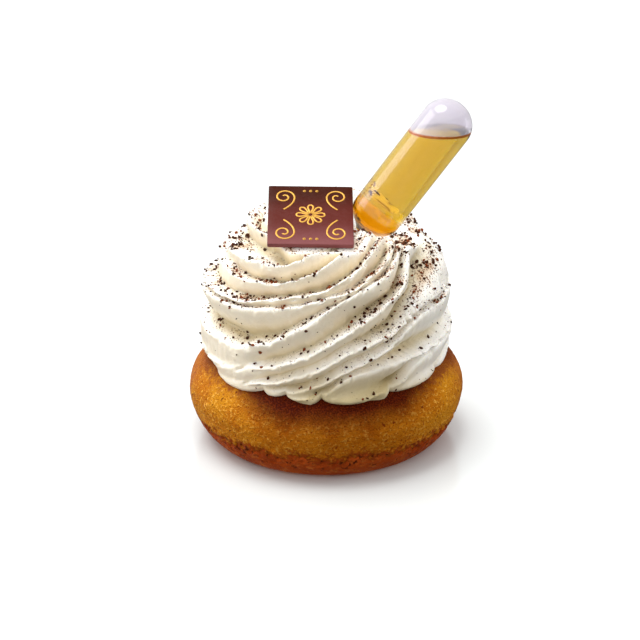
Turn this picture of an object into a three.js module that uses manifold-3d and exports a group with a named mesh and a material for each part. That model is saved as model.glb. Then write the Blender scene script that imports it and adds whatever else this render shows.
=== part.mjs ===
// Rum baba: a soaked yeast cake that carries a piped swirl of whipped cream, with a square chocolate plaque
// laid on the swirl and a squeeze pipette of rum stuck into it.
// Millimetres, +Z up, seen from the -Y side. The origin is the centre of the flat foot of the cake.
import * as THREE from "three";
import { mergeVertices } from "three/addons/utils/BufferGeometryUtils.js";
import Module from "manifold-3d";

const wasm = await Module();
wasm.setup();

// Clearance that neighbouring pieces keep, and the distance below which two vertices are one
const GAP = 0.3;
const MERGE_DISTANCE = 1e-4;

// Baba: a cake of revolution, widest at its equator, with a browned sole that curves in to a flat foot
const BABA_RADIUS = 35;
const BABA_EQUATOR_Z = 12.6;
const BABA_FOOT_RADIUS = 26.9;
const BABA_TOP_Z = 28.2;
const BABA_CROWN_RADIUS = 9;
const BABA_SOLE_POWER = 1.77;
const BABA_CROWN_POWER = 1.93;
const BABA_SOLE_STEPS = 9;
const BABA_CROWN_STEPS = 7;
const BABA_SEGMENTS = 48;

// Cream: outline of the mound, from its skirt on the cake to its summit. The upper coil sits to one side.
const SKIRT_RADIUS = 31.1;
const SKIRT_Z = 19.8;
const SKIRT_CURL = 7;
const BELLY_RADIUS = 31.6;
const BELLY_Z = 31.2;
const SUMMIT_Z = 61.2;
const DOME_RISE_POWER = 2.26;
const DOME_REACH_POWER = 2.95;
const OUTLINE_STEPS = 300;
const COIL_SHIFT = 1.9;
const COIL_SHIFT_FROM = 23.5;
const COIL_SHIFT_TO = 28;

// Cream: six star-nozzle ridges wind up the mound, turn after turn. Each row is one ridge's crest: its
// outline lengths at the stations, which are azimuths from the -X side round the front to the +X side. Round
// the back a crest goes on to the row that lies one turn of ridges higher.
const STATIONS = [180, 220, 240, 260, 280, 300, 320, 360];
const FIRST_RIDGE = -2;
const CRESTS = [
  [-25, -23, -22, -20, -16, -10, -4, 3],
  [-20, -18, -17, -13, -8, 1, 8.8, 9.8],
  [-14, -12, -8, -2, 7, 9.2, 9.9, 10.8],
  [-8, -5, -1, 3.8, 9, 13.6, 19.5, 20.6],
  [-4, 0, 3.5, 7.6, 13.4, 16.8, 21.7, 22.6],
  [4, 5.5, 8, 12.2, 18.7, 24.9, 37, 41.5],
  [12.3, 11.8, 14.1, 20.1, 27.6, 32.6, 39.5, 43.5],
  [20.8, 21.9, 23.1, 25.7, 29.1, 35, 42, 45.5],
  [22.3, 23.3, 25.1, 27.9, 32.7, 40.2, 44.5, 47.5],
  [29.2, 28.2, 29, 33.2, 39.8, 44.5, 47.5, 49.5],
  [31.5, 33, 33.4, 39.3, 44, 47.5, 50, 51.5],
];
const RIDGES = 6;
const LOWEST_RIDGE = -4;
const HIGHEST_RIDGE = 15;
const LOW_SPACING = 5;
const SUMMIT_PACKING = 0.72;
const SKIRT_TUCK = 6;
const SEAM_AZIMUTH = 90;
const FRONT_AZIMUTH = 285;
const FRONT_BIAS = 0.45;

// Cream: section of a ridge. A narrow ledge runs in from the crest to the groove, and a wall swells above it.
// One ridge has a wide ledge high on the +X side, which runs on round the back.
const GROOVE_DEPTH = 6;
const GROOVE_SPACING = 4.8;
const LEDGE_RISE = 1.6;
const LEDGE_LEAST = 0.12;
const LEDGE_MOST = 0.34;
const LEDGE_POWER = 1.2;
const WALL_POWER = 1.5;
const WIDE_RIDGE = 2;
const WIDE_LEDGE = 0.72;
const WIDE_FROM = [300, 322];
const WIDE_TO = [585, 605];
const GROOVE_WAVE = 0.18;
const GROOVE_WAVE_RATE = 3.7;
const FLANK_SHALLOWING = 0.4;
const FLANK_POWER = 4;
const ROPE_START_RIDGE = 3;
const ROPE_SHALLOW_FROM = [100, 150];
const ROPE_SHALLOW_TO = [230, 246];
const ROPE_START_GROOVE = 0.12;
const SUMMIT_SINK = 0.7;
const RIDGE_STEPS = [0, 0.5, 1, 1.5];
const RIDGE_COLUMNS = 54;

// Cream: its lower edge hangs over the cake in round lobes, one arch each, with notches between them
const NOTCH_Z = 22.4;
const LOBES = [
  { middle: 224, half: 16.5, depth: 1.4 },
  { middle: 246, half: 6.5, depth: 1 },
  { middle: 260, half: 8.5, depth: 1.8 },
  { middle: 284, half: 16.5, depth: 2.4 },
  { middle: 316, half: 17, depth: 1.6 },
  { middle: 350, half: 18, depth: 0.8 },
  { middle: 386, half: 18, depth: 1.3 },
  { middle: 421, half: 17, depth: 0.9 },
  { middle: 456, half: 18, depth: 1.4 },
  { middle: 491, half: 17, depth: 1 },
  { middle: 525, half: 17, depth: 0.8 },
];
const EDGE_OVERHANG = 0.7;
const EDGE_BLEND = 6;
const EDGE_TUCK = 0.9;

// Cream: how it gives way under the plaque and round the pipette
const PRESS_SOFTNESS = 0.8;
const PLAQUE_PRESS_MARGIN = 1;
const PLAQUE_PRESS_SLOPE = 1.1;
const PIPETTE_PRESS_SPRING = 0.1;
const PIPETTE_PRESS_DEPTH = 6.8;
const PIPETTE_PRESS_RADIUS = 5;
const PIPETTE_PRESS_SLOPE = 0.9;

// Chocolate plaque: a thin square, tipped up towards the front
const PLAQUE_SIDE = 20.5;
const PLAQUE_THICKNESS = 1.2;
const PLAQUE_CORNER = 0.4;
const PLAQUE_BEVEL = 0.15;
const PLAQUE_CENTRE = new THREE.Vector3(-3.7, -8, 59.5);
const PLAQUE_TILT = 24.5;
const PLAQUE_TURN = 2.9;
const PLAQUE_ROLL = -2.3;

// Pipette: a round-ended tube with a shoulder and a nozzle that is buried in the cream
const TUBE_RADIUS = 6.36;
const TUBE_LENGTH = 27.7;
const TUBE_DOME_SHARE = 0.93;
const TUBE_WALL = 0.55;
const SHOULDER_LENGTH = 6.6;
const SHOULDER_POWER = 1.5;
const NOZZLE_RADIUS = 2.1;
const NOZZLE_TIP_RADIUS = 1.5;
const NOZZLE_BORE_RADIUS = 0.8;
const NOZZLE_LENGTH = 15;
const TUBE_SEGMENTS = 26;
const DOME_STEPS = 6;
const PIPETTE_BASE = new THREE.Vector3(12.6, -3, 58.9);
const PIPETTE_TILT = 35.2;
const PIPETTE_AZIMUTH = -6.6;
const RUM_LEVEL_Z = 80.1;

// Grated chocolate: the largest crumbs, lodged on the upward faces of the cream
const CRUMB_COUNT = 56;
const CRUMB_SMALL = 0.45;
const CRUMB_LARGE = 0.8;
const CRUMB_WIDTH_SHARE = 0.8;
const CRUMB_HEIGHT_SHARE = 0.7;
const CRUMB_SEED = 20;
const CRUMB_TOP_LENGTH = 50;
const CRUMB_CLEARANCE = 2.2;

const { clamp } = THREE.MathUtils;
const degrees = THREE.MathUtils.degToRad;
const mix = THREE.MathUtils.lerp;
const smooth = THREE.MathUtils.smoothstep;

// Groups that hold the plaque and the pipette in their own frames
function placed(position, ...turns) {
  const group = new THREE.Group();
  group.position.copy(position);
  turns.forEach(([axis, angle]) => group.rotateOnAxis(axis, degrees(angle)));
  group.updateMatrixWorld();
  return group;
}

const [X, Y, Z] = [new THREE.Vector3(1, 0, 0), new THREE.Vector3(0, 1, 0), new THREE.Vector3(0, 0, 1)];
const plaqueGroup = placed(PLAQUE_CENTRE, [Z, PLAQUE_TURN], [X, PLAQUE_TILT], [Z, PLAQUE_ROLL]);
const pipetteGroup = placed(PIPETTE_BASE, [Z, PIPETTE_AZIMUTH], [Y, PIPETTE_TILT]);
const PLAQUE_FRAME = plaqueGroup.matrixWorld;
const PIPETTE_FRAME = pipetteGroup.matrixWorld;

// A closed geometry as a solid for joining and cutting
function solidOf(geometry) {
  const bare = geometry.clone();
  bare.deleteAttribute("normal");
  bare.deleteAttribute("uv");
  const merged = mergeVertices(bare, MERGE_DISTANCE);
  return new wasm.Manifold(
    new wasm.Mesh({
      numProp: 3,
      vertProperties: merged.getAttribute("position").array,
      triVerts: new Uint32Array(merged.index.array),
    }),
  );
}

// A solid back as a geometry, without the loose scraps that cutting leaves
function geometryOf(solid) {
  const bodies = solid.decompose();
  const body = bodies.reduce((a, b) => (a.volume() > b.volume() ? a : b));
  const mesh = body.getMesh();
  return new THREE.BufferGeometry()
    .setAttribute("position", new THREE.BufferAttribute(mesh.vertProperties, 3))
    .setIndex(new THREE.BufferAttribute(mesh.triVerts, 1));
}

// A profile of (radius, height) points turned round the Z axis
function turned(profile, segments) {
  return new THREE.LatheGeometry(profile, segments).rotateX(Math.PI / 2);
}

// The cake's profile from the foot to the crown, grown all round by a clearance
function babaProfile(grow) {
  const points = [new THREE.Vector2(0, -grow)];
  const quarter = Math.PI / 2;
  for (let i = 0; i <= BABA_SOLE_STEPS; i++) {
    const angle = (quarter * i) / BABA_SOLE_STEPS;
    const reach = Math.sin(angle) ** (2 / BABA_SOLE_POWER);
    const rise = 1 - Math.cos(angle) ** (2 / BABA_SOLE_POWER);
    const radius = mix(BABA_FOOT_RADIUS, BABA_RADIUS, reach);
    points.push(new THREE.Vector2(radius + grow, mix(-grow, BABA_EQUATOR_Z, rise)));
  }
  for (let i = 1; i <= BABA_CROWN_STEPS; i++) {
    const angle = (quarter * i) / BABA_CROWN_STEPS;
    const reach = Math.cos(angle) ** (2 / BABA_CROWN_POWER);
    const rise = Math.sin(angle) ** (2 / BABA_CROWN_POWER);
    const radius = mix(BABA_CROWN_RADIUS, BABA_RADIUS, reach);
    const height = mix(BABA_EQUATOR_Z, BABA_TOP_Z + grow, rise);
    points.push(new THREE.Vector2(radius + grow * reach, height));
  }
  points.push(new THREE.Vector2(0, BABA_TOP_Z + grow));
  return points;
}

// Radius of the cake at a height above its equator
function babaRadiusAt(height) {
  const rise = (height - BABA_EQUATOR_Z) / (BABA_TOP_Z - BABA_EQUATOR_Z);
  const angle = Math.asin(rise ** (BABA_CROWN_POWER / 2));
  return mix(BABA_CROWN_RADIUS, BABA_RADIUS, Math.cos(angle) ** (2 / BABA_CROWN_POWER));
}

function baba(grow = 0) {
  return turned(babaProfile(grow), BABA_SEGMENTS);
}

// The mound's outline by its length from the skirt: points with the length run so far
function moundOutline() {
  const points = [];
  for (let i = 0; i <= OUTLINE_STEPS; i++) {
    const share = i / OUTLINE_STEPS;
    const reach = BELLY_RADIUS - (BELLY_RADIUS - SKIRT_RADIUS) * (1 - share) ** SKIRT_CURL;
    points.push({ r: reach, z: mix(SKIRT_Z, BELLY_Z, share) });
  }
  for (let i = 1; i <= OUTLINE_STEPS; i++) {
    const angle = (Math.PI / 2) * (i / OUTLINE_STEPS);
    const reach = Math.max(Math.cos(angle), 0) ** (2 / DOME_REACH_POWER);
    const rise = Math.sin(angle) ** (2 / DOME_RISE_POWER);
    points.push({ r: BELLY_RADIUS * reach, z: mix(BELLY_Z, SUMMIT_Z, rise) });
  }
  points[0].length = 0;
  for (let i = 1; i < points.length; i++) {
    const step = Math.hypot(points[i].r - points[i - 1].r, points[i].z - points[i - 1].z);
    points[i].length = points[i - 1].length + step;
  }
  return points;
}

const OUTLINE = moundOutline();
const OUTLINE_LENGTH = OUTLINE[OUTLINE.length - 1].length;

// Radius, height and outward normal of the mound at a length along its outline
function outlineAt(length) {
  if (length <= 0) return { r: SKIRT_RADIUS, z: SKIRT_Z + length, nr: 1, nz: 0 };
  let low = 0;
  let high = OUTLINE.length - 1;
  while (high - low > 1) {
    const middle = (low + high) >> 1;
    if (OUTLINE[middle].length <= length) low = middle;
    else high = middle;
  }
  const a = OUTLINE[low];
  const b = OUTLINE[high];
  const step = b.length - a.length;
  const share = Math.min((length - a.length) / step, 1);
  const place = { r: mix(a.r, b.r, share), z: mix(a.z, b.z, share) };
  return { ...place, nr: (b.z - a.z) / step, nz: (a.r - b.r) / step };
}

// Outline lengths of a crest at the stations. Ridges below the table lie in the cake, and those above it
// crowd together at the summit.
function stationLengths(ridge) {
  const lastRidge = FIRST_RIDGE + CRESTS.length - 1;
  const row = CRESTS[clamp(ridge, FIRST_RIDGE, lastRidge) - FIRST_RIDGE];
  if (ridge < FIRST_RIDGE) return row.map((length) => length - LOW_SPACING * (FIRST_RIDGE - ridge));
  const packing = SUMMIT_PACKING ** Math.max(ridge - lastRidge, 0);
  return row.map((length) => mix(OUTLINE_LENGTH, length, packing));
}

// A smooth curve through knots that doesn't overshoot them
function eased(place, knots, values) {
  const rise = (i) => (values[i + 1] - values[i]) / (knots[i + 1] - knots[i]);
  const slope = (i) => {
    if (i === 0 || i === knots.length - 1) return 0;
    const [before, after] = [rise(i - 1), rise(i)];
    return before * after > 0 ? (2 * before * after) / (before + after) : 0;
  };
  const i = knots.findLastIndex((knot) => knot <= place);
  const width = knots[i + 1] - knots[i];
  const share = (place - knots[i]) / width;
  const leave = share * (1 - share) ** 2 * slope(i) * width;
  const arrive = share ** 2 * (share - 1) * slope(i + 1) * width;
  return mix(values[i], values[i + 1], smooth(share, 0, 1)) + leave + arrive;
}

// Angle in degrees run along the rope, which goes on from turn to turn
function ropeAngle(ridge, azimuth) {
  return azimuth + 360 * Math.floor(ridge / RIDGES);
}

// Outline length of a crest at an azimuth between the seam and one turn past it, tucked in below the skirt
function crestLength(ridge, azimuth) {
  const turns = [-1, 0, 1];
  const knots = turns.flatMap((turn) => STATIONS.map((station) => ropeAngle(ridge, station + 360 * turn)));
  const values = turns.flatMap((turn) => stationLengths(ridge + RIDGES * turn));
  const length = eased(ropeAngle(ridge, azimuth), knots, values);
  return length < 0 ? -SKIRT_TUCK * (1 - Math.exp(length / SKIRT_TUCK)) : length;
}

// Depth of the groove above a ridge: deep where the next crest lies far off, and shallow on the +X flank and
// on the first coil behind the place where the rope starts
function grooveDepth(ridge, azimuth, gap) {
  const open = 1 - Math.exp(-gap / GROOVE_SPACING);
  const wave = 1 + GROOVE_WAVE * Math.sin(GROOVE_WAVE_RATE * degrees(ropeAngle(ridge, azimuth)));
  const flank = 1 - FLANK_SHALLOWING * Math.max(Math.cos(degrees(azimuth)), 0) ** FLANK_POWER;
  const start = smooth(azimuth, ...ROPE_SHALLOW_FROM) * (1 - smooth(azimuth, ...ROPE_SHALLOW_TO));
  const shallow = ridge > ROPE_START_RIDGE ? 0 : start;
  return GROOVE_DEPTH * open * wave * flank * mix(1, ROPE_START_GROOVE, shallow);
}

// Share of the way to the next crest at which the groove lies
function ledgeShare(ridge, azimuth, gap) {
  const narrow = clamp(LEDGE_RISE / gap, LEDGE_LEAST, LEDGE_MOST);
  if (THREE.MathUtils.euclideanModulo(ridge, RIDGES) !== WIDE_RIDGE) return narrow;
  const angle = ropeAngle(ridge, azimuth);
  const wide = smooth(angle, ...WIDE_FROM) * (1 - smooth(angle, ...WIDE_TO));
  return mix(narrow, WIDE_LEDGE, wide);
}

// Share of the groove's depth at a step: 0 on the crest, 1 in the groove and 2 on the next crest
function grooveShape(step) {
  return step < 1 ? Math.sin((Math.PI / 2) * step) ** LEDGE_POWER : (2 - step) ** WALL_POWER;
}

// Height of the lower edge
function edgeHeight(azimuth) {
  const drops = LOBES.map(({ middle, half, depth }) => {
    const away = THREE.MathUtils.euclideanModulo(azimuth - middle + 180, 360) - 180;
    return depth * Math.sqrt(Math.max(1 - (away / half) ** 2, 0));
  });
  return NOTCH_Z - Math.max(...drops);
}

// A point pushed softly along a frame's own -Z until it lies under a limit there, apart from a share of the
// push by which it springs back
function pressed(point, frame, limitAt, spring) {
  const local = point.clone().applyMatrix4(frame.clone().invert());
  const over = (local.z - limitAt(local)) / PRESS_SOFTNESS;
  local.z -= (1 - spring) * PRESS_SOFTNESS * Math.log1p(Math.exp(over));
  return local.applyMatrix4(frame);
}

function plaqueLimit({ x, y }) {
  const half = PLAQUE_SIDE / 2;
  const outside = Math.hypot(Math.max(Math.abs(x) - half, 0), Math.max(Math.abs(y) - half, 0));
  return PLAQUE_PRESS_SLOPE * Math.max(outside - PLAQUE_PRESS_MARGIN, 0) - PLAQUE_THICKNESS / 2 - GAP;
}

function pipetteLimit({ x, y }) {
  return PIPETTE_PRESS_SLOPE * Math.max(Math.hypot(x, y) - PIPETTE_PRESS_RADIUS, 0) - PIPETTE_PRESS_DEPTH;
}

// Point of the cream above a ridge's crest. Steps from 0 to 1 run in along the ledge to the groove, and those
// from 1 to 2 run up the wall to the next crest. The lower edge lies on the cake, a little proud of it.
function creamPoint(ridge, step, azimuth) {
  const lower = crestLength(ridge, azimuth);
  const gap = crestLength(ridge + 1, azimuth) - lower;
  const ledge = ledgeShare(ridge, azimuth, gap);
  const length = lower + gap * (step < 1 ? ledge * step : mix(ledge, 1, step - 1));
  const { r, z, nr, nz } = outlineAt(length);
  const sink = Math.min(grooveDepth(ridge, azimuth, gap) * grooveShape(step), SUMMIT_SINK * r);
  const nearEdge = 1 - smooth(length, 0, EDGE_BLEND);
  const edgeZ = edgeHeight(azimuth);
  const edgeRadius = babaRadiusAt(edgeZ) + EDGE_OVERHANG;
  const radius = mix(r - nr * sink, edgeRadius, nearEdge ** 2) + EDGE_TUCK * Math.min(length, 0);
  const height = z - nz * sink + (edgeZ - SKIRT_Z) * nearEdge;
  const shift = COIL_SHIFT * smooth(length, COIL_SHIFT_FROM, COIL_SHIFT_TO);
  const bare = new THREE.Vector3(radius, 0, height).applyAxisAngle(Z, degrees(azimuth));
  const underPlaque = pressed(bare.addScaledVector(X, shift), PLAQUE_FRAME, plaqueLimit, 0);
  return pressed(underPlaque, PIPETTE_FRAME, pipetteLimit, PIPETTE_PRESS_SPRING);
}

// Azimuth of a column of the skin, with the columns closer together where the ridges climb
function columnAzimuth(column) {
  const share = column / RIDGE_COLUMNS;
  const front = (FRONT_AZIMUTH - SEAM_AZIMUTH) / 360;
  const wave = (at) => Math.sin(2 * Math.PI * at) / (2 * Math.PI);
  return SEAM_AZIMUTH + 360 * (share - FRONT_BIAS * (wave(share - front) + wave(front)));
}

// The mound as one skin of rows that follow the ridges like a screw thread: a row that reaches the seam goes
// on there as the row one turn of ridges higher
function creamSkin() {
  const positions = [];
  const rowsPerTurn = RIDGES * RIDGE_STEPS.length;
  const rows = (HIGHEST_RIDGE - LOWEST_RIDGE) * RIDGE_STEPS.length;
  const place = new Map();
  const vertex = (column, row) => {
    if (column === RIDGE_COLUMNS) return vertex(0, row + rowsPerTurn);
    const key = `${column} ${row}`;
    if (!place.has(key)) {
      const ridge = LOWEST_RIDGE + Math.floor(row / RIDGE_STEPS.length);
      const step = RIDGE_STEPS[row % RIDGE_STEPS.length];
      const azimuth = columnAzimuth(column);
      place.set(key, positions.length / 3);
      positions.push(...creamPoint(ridge, step, azimuth).toArray());
    }
    return place.get(key);
  };
  const triangles = [];
  for (let column = 0; column < RIDGE_COLUMNS; column++) {
    for (let row = 0; row < rows; row++) {
      const [a, b] = [vertex(column, row), vertex(column + 1, row)];
      const [c, d] = [vertex(column + 1, row + 1), vertex(column, row + 1)];
      triangles.push(a, b, c, a, c, d);
    }
  }
  // The open rim at either end climbs one turn along its row and drops back down the seam
  const rim = (row) => {
    const loop = [];
    for (let column = 0; column <= RIDGE_COLUMNS; column++) loop.push(vertex(column, row));
    for (let step = rowsPerTurn - 1; step > 0; step--) loop.push(vertex(0, row + step));
    return loop;
  };
  const close = (loop, x, z, up) => {
    const centre = positions.length / 3;
    positions.push(x, 0, z);
    loop.forEach((from, i) => {
      const to = loop[(i + 1) % loop.length];
      triangles.push(...(up ? [from, to, centre] : [to, from, centre]));
    });
  };
  close(rim(0), 0, SKIRT_Z - SKIRT_TUCK, false);
  close(rim(rows), COIL_SHIFT, SUMMIT_Z, true);
  return new THREE.BufferGeometry()
    .setAttribute("position", new THREE.BufferAttribute(new Float32Array(positions), 3))
    .setIndex(triangles);
}

function plaque(grow = 0) {
  const half = PLAQUE_SIDE / 2 + grow;
  const corner = PLAQUE_CORNER + grow;
  const face = new THREE.Shape()
    .moveTo(corner - half, -half)
    .lineTo(half - corner, -half)
    .absarc(half - corner, corner - half, corner, -Math.PI / 2, 0)
    .absarc(half - corner, half - corner, corner, 0, Math.PI / 2)
    .absarc(corner - half, half - corner, corner, Math.PI / 2, Math.PI)
    .absarc(corner - half, corner - half, corner, Math.PI, 1.5 * Math.PI);
  const core = PLAQUE_THICKNESS - 2 * PLAQUE_BEVEL;
  return new THREE.ExtrudeGeometry(face, {
    depth: core + 2 * grow,
    curveSegments: 3,
    bevelThickness: PLAQUE_BEVEL,
    bevelSize: PLAQUE_BEVEL,
    bevelOffset: -PLAQUE_BEVEL,
    bevelSegments: 1,
  }).translate(0, 0, -core / 2 - grow);
}

// Half of the tube's outline from the round end to the nozzle's tip, at an offset outside or inside its wall.
// Local frame: +Z along the tube towards its round end, origin where the shoulder starts.
function tubeProfile(offset, nozzleRadius, tipRadius, foot) {
  const radius = TUBE_RADIUS + offset;
  const points = [];
  for (let i = 0; i <= DOME_STEPS; i++) {
    const angle = ((Math.PI / 2) * i) / DOME_STEPS;
    const height = TUBE_LENGTH + TUBE_DOME_SHARE * radius * Math.cos(angle);
    points.push(new THREE.Vector2(radius * Math.sin(angle), height));
  }
  for (let i = 0; i <= DOME_STEPS; i++) {
    const share = i / DOME_STEPS;
    const reach = 0.5 + 0.5 * Math.cos(Math.PI * share ** SHOULDER_POWER);
    points.push(new THREE.Vector2(mix(nozzleRadius, radius, reach), -SHOULDER_LENGTH * share));
  }
  points.push(new THREE.Vector2(tipRadius, foot));
  return points;
}

const NOZZLE_TIP_Z = -SHOULDER_LENGTH - NOZZLE_LENGTH;

function pipetteShell() {
  const outside = tubeProfile(0, NOZZLE_RADIUS, NOZZLE_TIP_RADIUS, NOZZLE_TIP_Z);
  const inside = tubeProfile(-TUBE_WALL, NOZZLE_RADIUS - TUBE_WALL, NOZZLE_BORE_RADIUS, NOZZLE_TIP_Z);
  return turned([...inside, ...outside.reverse()], TUBE_SEGMENTS);
}

// The room that the pipette takes in the cream, grown by the clearance
function pipetteRoom() {
  const outside = tubeProfile(GAP, NOZZLE_RADIUS + GAP, NOZZLE_TIP_RADIUS + GAP, NOZZLE_TIP_Z - GAP);
  return turned([...outside, new THREE.Vector2(0, NOZZLE_TIP_Z - GAP)].reverse(), TUBE_SEGMENTS);
}

// Rum inside the tube, up to a level surface however the tube leans
function rum() {
  const inside = tubeProfile(-TUBE_WALL - GAP, NOZZLE_RADIUS - TUBE_WALL - GAP, 0, -SHOULDER_LENGTH);
  const filled = solidOf(turned(inside.reverse(), TUBE_SEGMENTS).applyMatrix4(PIPETTE_FRAME));
  const height = 2 * TUBE_LENGTH;
  const below = new THREE.BoxGeometry(height, height, height).translate(
    PIPETTE_BASE.x + TUBE_LENGTH / 2,
    PIPETTE_BASE.y,
    RUM_LEVEL_Z - height / 2,
  );
  return geometryOf(filled.intersect(solidOf(below))).applyMatrix4(PIPETTE_FRAME.clone().invert());
}

// Repeatable numbers from 0 to 1
function seededNumbers(seed) {
  const [factor, step, range] = [1664525, 1013904223, 2 ** 32];
  let state = seed;
  return () => {
    state = (state * factor + step) % range;
    return state / range;
  };
}

// Crumbs lodged on the ledges: little squat octahedra, half sunk, clear of the plaque and the pipette
function crumbs(keepClear) {
  const next = seededNumbers(CRUMB_SEED);
  const made = [];
  while (made.length < CRUMB_COUNT) {
    const ridge = Math.floor(next() * (HIGHEST_RIDGE - 1));
    const step = next();
    const azimuth = SEAM_AZIMUTH + 360 * next();
    const size = mix(CRUMB_SMALL, CRUMB_LARGE, next() ** 2);
    const spin = next() * Math.PI;
    const length = crestLength(ridge, azimuth);
    const place = creamPoint(ridge, step, azimuth);
    const lodged = length > CRUMB_CLEARANCE && length < CRUMB_TOP_LENGTH;
    const near = keepClear.some((box) => box.distanceToPoint(place) < CRUMB_CLEARANCE);
    if (!lodged || near) continue;
    const crumb = new THREE.OctahedronGeometry(size)
      .rotateZ(spin)
      .scale(1, CRUMB_WIDTH_SHARE, CRUMB_HEIGHT_SHARE);
    made.push(crumb.translate(place.x, place.y, place.z));
  }
  return made;
}

function cream() {
  const plaqueRoom = plaque(GAP).applyMatrix4(PLAQUE_FRAME);
  const tubeRoom = pipetteRoom().applyMatrix4(PIPETTE_FRAME);
  let body = solidOf(creamSkin()).subtract(solidOf(baba(GAP)));
  body = body.subtract(solidOf(plaqueRoom)).subtract(solidOf(tubeRoom));
  const keepClear = [plaqueRoom, tubeRoom].map((room) => {
    room.computeBoundingBox();
    return room.boundingBox;
  });
  for (const crumb of crumbs(keepClear)) body = body.add(solidOf(crumb));
  return geometryOf(body);
}

function finish(colour, roughness, extra = {}) {
  return new THREE.MeshStandardMaterial({ color: colour, roughness, metalness: 0, ...extra });
}

function piece(name, geometry, material) {
  const mesh = new THREE.Mesh(geometry, material);
  mesh.name = name;
  return mesh;
}

plaqueGroup.add(piece("plaque", plaque(), finish(0x4a2226, 0.3)));

const clear = { transparent: true, opacity: 0.35 };
pipetteGroup.add(piece("pipette", pipetteShell(), finish(0xe9e8ee, 0.1, clear)));
pipetteGroup.add(piece("rum", rum(), finish(0xd9a62a, 0.05, clear)));

const rumBaba = new THREE.Group();
rumBaba.add(piece("baba", baba(), finish(0xb5701c, 0.6)));
rumBaba.add(piece("cream", cream(), finish(0xf3ecd9, 0.5)));
rumBaba.add(plaqueGroup, pipetteGroup);

export default rumBaba;
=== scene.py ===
# %% [markdown]
# # A rum baba
# A rum baba is a small yeast cake soaked in syrup. This one carries a piped swirl of whipped cream with
# grated chocolate, a square chocolate plaque and a clear pipette of rum. The solids of the part come first,
# as a fixed frame, and every piece below is made in the place of one of them.

# %% Load the frame
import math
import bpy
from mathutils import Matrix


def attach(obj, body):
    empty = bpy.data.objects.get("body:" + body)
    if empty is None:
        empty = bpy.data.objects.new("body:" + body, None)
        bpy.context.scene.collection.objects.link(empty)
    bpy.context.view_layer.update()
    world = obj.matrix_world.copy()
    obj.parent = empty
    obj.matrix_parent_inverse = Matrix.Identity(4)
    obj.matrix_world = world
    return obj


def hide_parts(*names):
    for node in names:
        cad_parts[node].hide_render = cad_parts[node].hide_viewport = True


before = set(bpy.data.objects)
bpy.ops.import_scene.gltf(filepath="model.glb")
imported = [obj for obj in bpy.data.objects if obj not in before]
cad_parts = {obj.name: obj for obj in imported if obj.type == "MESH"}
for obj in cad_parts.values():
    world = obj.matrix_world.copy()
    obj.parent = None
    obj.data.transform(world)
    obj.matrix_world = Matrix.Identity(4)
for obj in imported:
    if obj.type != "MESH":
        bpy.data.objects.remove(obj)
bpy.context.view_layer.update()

# %% Modules and the millimetre
from types import SimpleNamespace

import bmesh
import bpy
import numpy as np
from mathutils import Matrix, Vector, noise

MM = 0.001

# %% [markdown]
# ## The camera
# The picture was taken from a little above the cake with a long lens, so the tube hardly tapers. The
# distance and the angles were found from the outlines of the cake, the plaque and the tube. A real lens
# length is kept, because a wrong one changes how round the cake looks.

# %% Camera
CAMERA_DISTANCE = 415.4 * MM
CAMERA_ELEVATION = math.radians(26)
CAMERA_PITCH = math.radians(22.25)
CAMERA_YAW = math.radians(0.226)
CAMERA_LENS = 90

camera_data = bpy.data.cameras.new("camera")
camera_data.lens = CAMERA_LENS
camera = bpy.data.objects.new("camera", camera_data)
camera.location = (
    0,
    -CAMERA_DISTANCE * math.cos(CAMERA_ELEVATION),
    CAMERA_DISTANCE * math.sin(CAMERA_ELEVATION),
)
camera.rotation_euler = (math.pi / 2 - CAMERA_PITCH, 0, CAMERA_YAW)
bpy.context.collection.objects.link(camera)
bpy.context.scene.camera = camera
print("camera at", [round(value, 4) for value in camera.location])

# %% [markdown]
# ## Finishes as node trees
# Every finish here is one Principled shader with a few texture nodes in front of it. Short helpers keep the
# trees readable: one starts a material with its constant sockets, one adds a node and joins its inputs, and
# the rest are the few steps that every finish takes. Colours are given as screen values, because that is how
# they are compared with a picture.

# %% Helpers for materials and nodes
def colour(red, green, blue):
    """Screen values from 0 to 255 as the linear colour that a shader socket takes."""
    share = np.array([red, green, blue]) / 255
    value = np.where(share <= 0.04045, share / 12.92, ((share + 0.055) / 1.055) ** 2.4)
    return (*value.tolist(), 1.0)


def new_finish(name, sockets):
    """A material whose Principled shader has these constant sockets."""
    material = bpy.data.materials.new(name)
    material.use_nodes = True
    shader = material.node_tree.nodes["Principled BSDF"]
    for socket, value in sockets.items():
        shader.inputs[socket].default_value = value
    return material


def add_node(material, kind, inputs=None, **settings):
    """A shader node with its settings, and its inputs joined or set."""
    node = material.node_tree.nodes.new("ShaderNode" + kind)
    for setting, value in settings.items():
        setattr(node, setting, value)
    for socket, value in (inputs or {}).items():
        if isinstance(value, bpy.types.NodeSocket):
            material.node_tree.links.new(value, node.inputs[socket])
        else:
            node.inputs[socket].default_value = value
    return node


def feed_shader(material, socket, source):
    """Joins a node's output to a socket of the material's shader."""
    shader = material.node_tree.nodes["Principled BSDF"]
    material.node_tree.links.new(source, shader.inputs[socket])


def place_in_mm(material):
    """The place on the object in millimetres, for textures at their true size."""
    coordinates = add_node(material, "TexCoord").outputs["Object"]
    scaled = add_node(material, "VectorMath", {0: coordinates}, operation="SCALE")
    scaled.inputs["Scale"].default_value = 1 / MM
    return scaled.outputs["Vector"]


print("node helpers ready")

# %% Helpers for tones and relief
def blotches(material, place, grain, detail=2.0):
    """Noise from 0 to 1 with one blotch about every grain millimetres."""
    inputs = {"Vector": place, "Scale": 1 / grain, "Detail": detail}
    return add_node(material, "TexNoise", inputs).outputs["Fac"]


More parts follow.
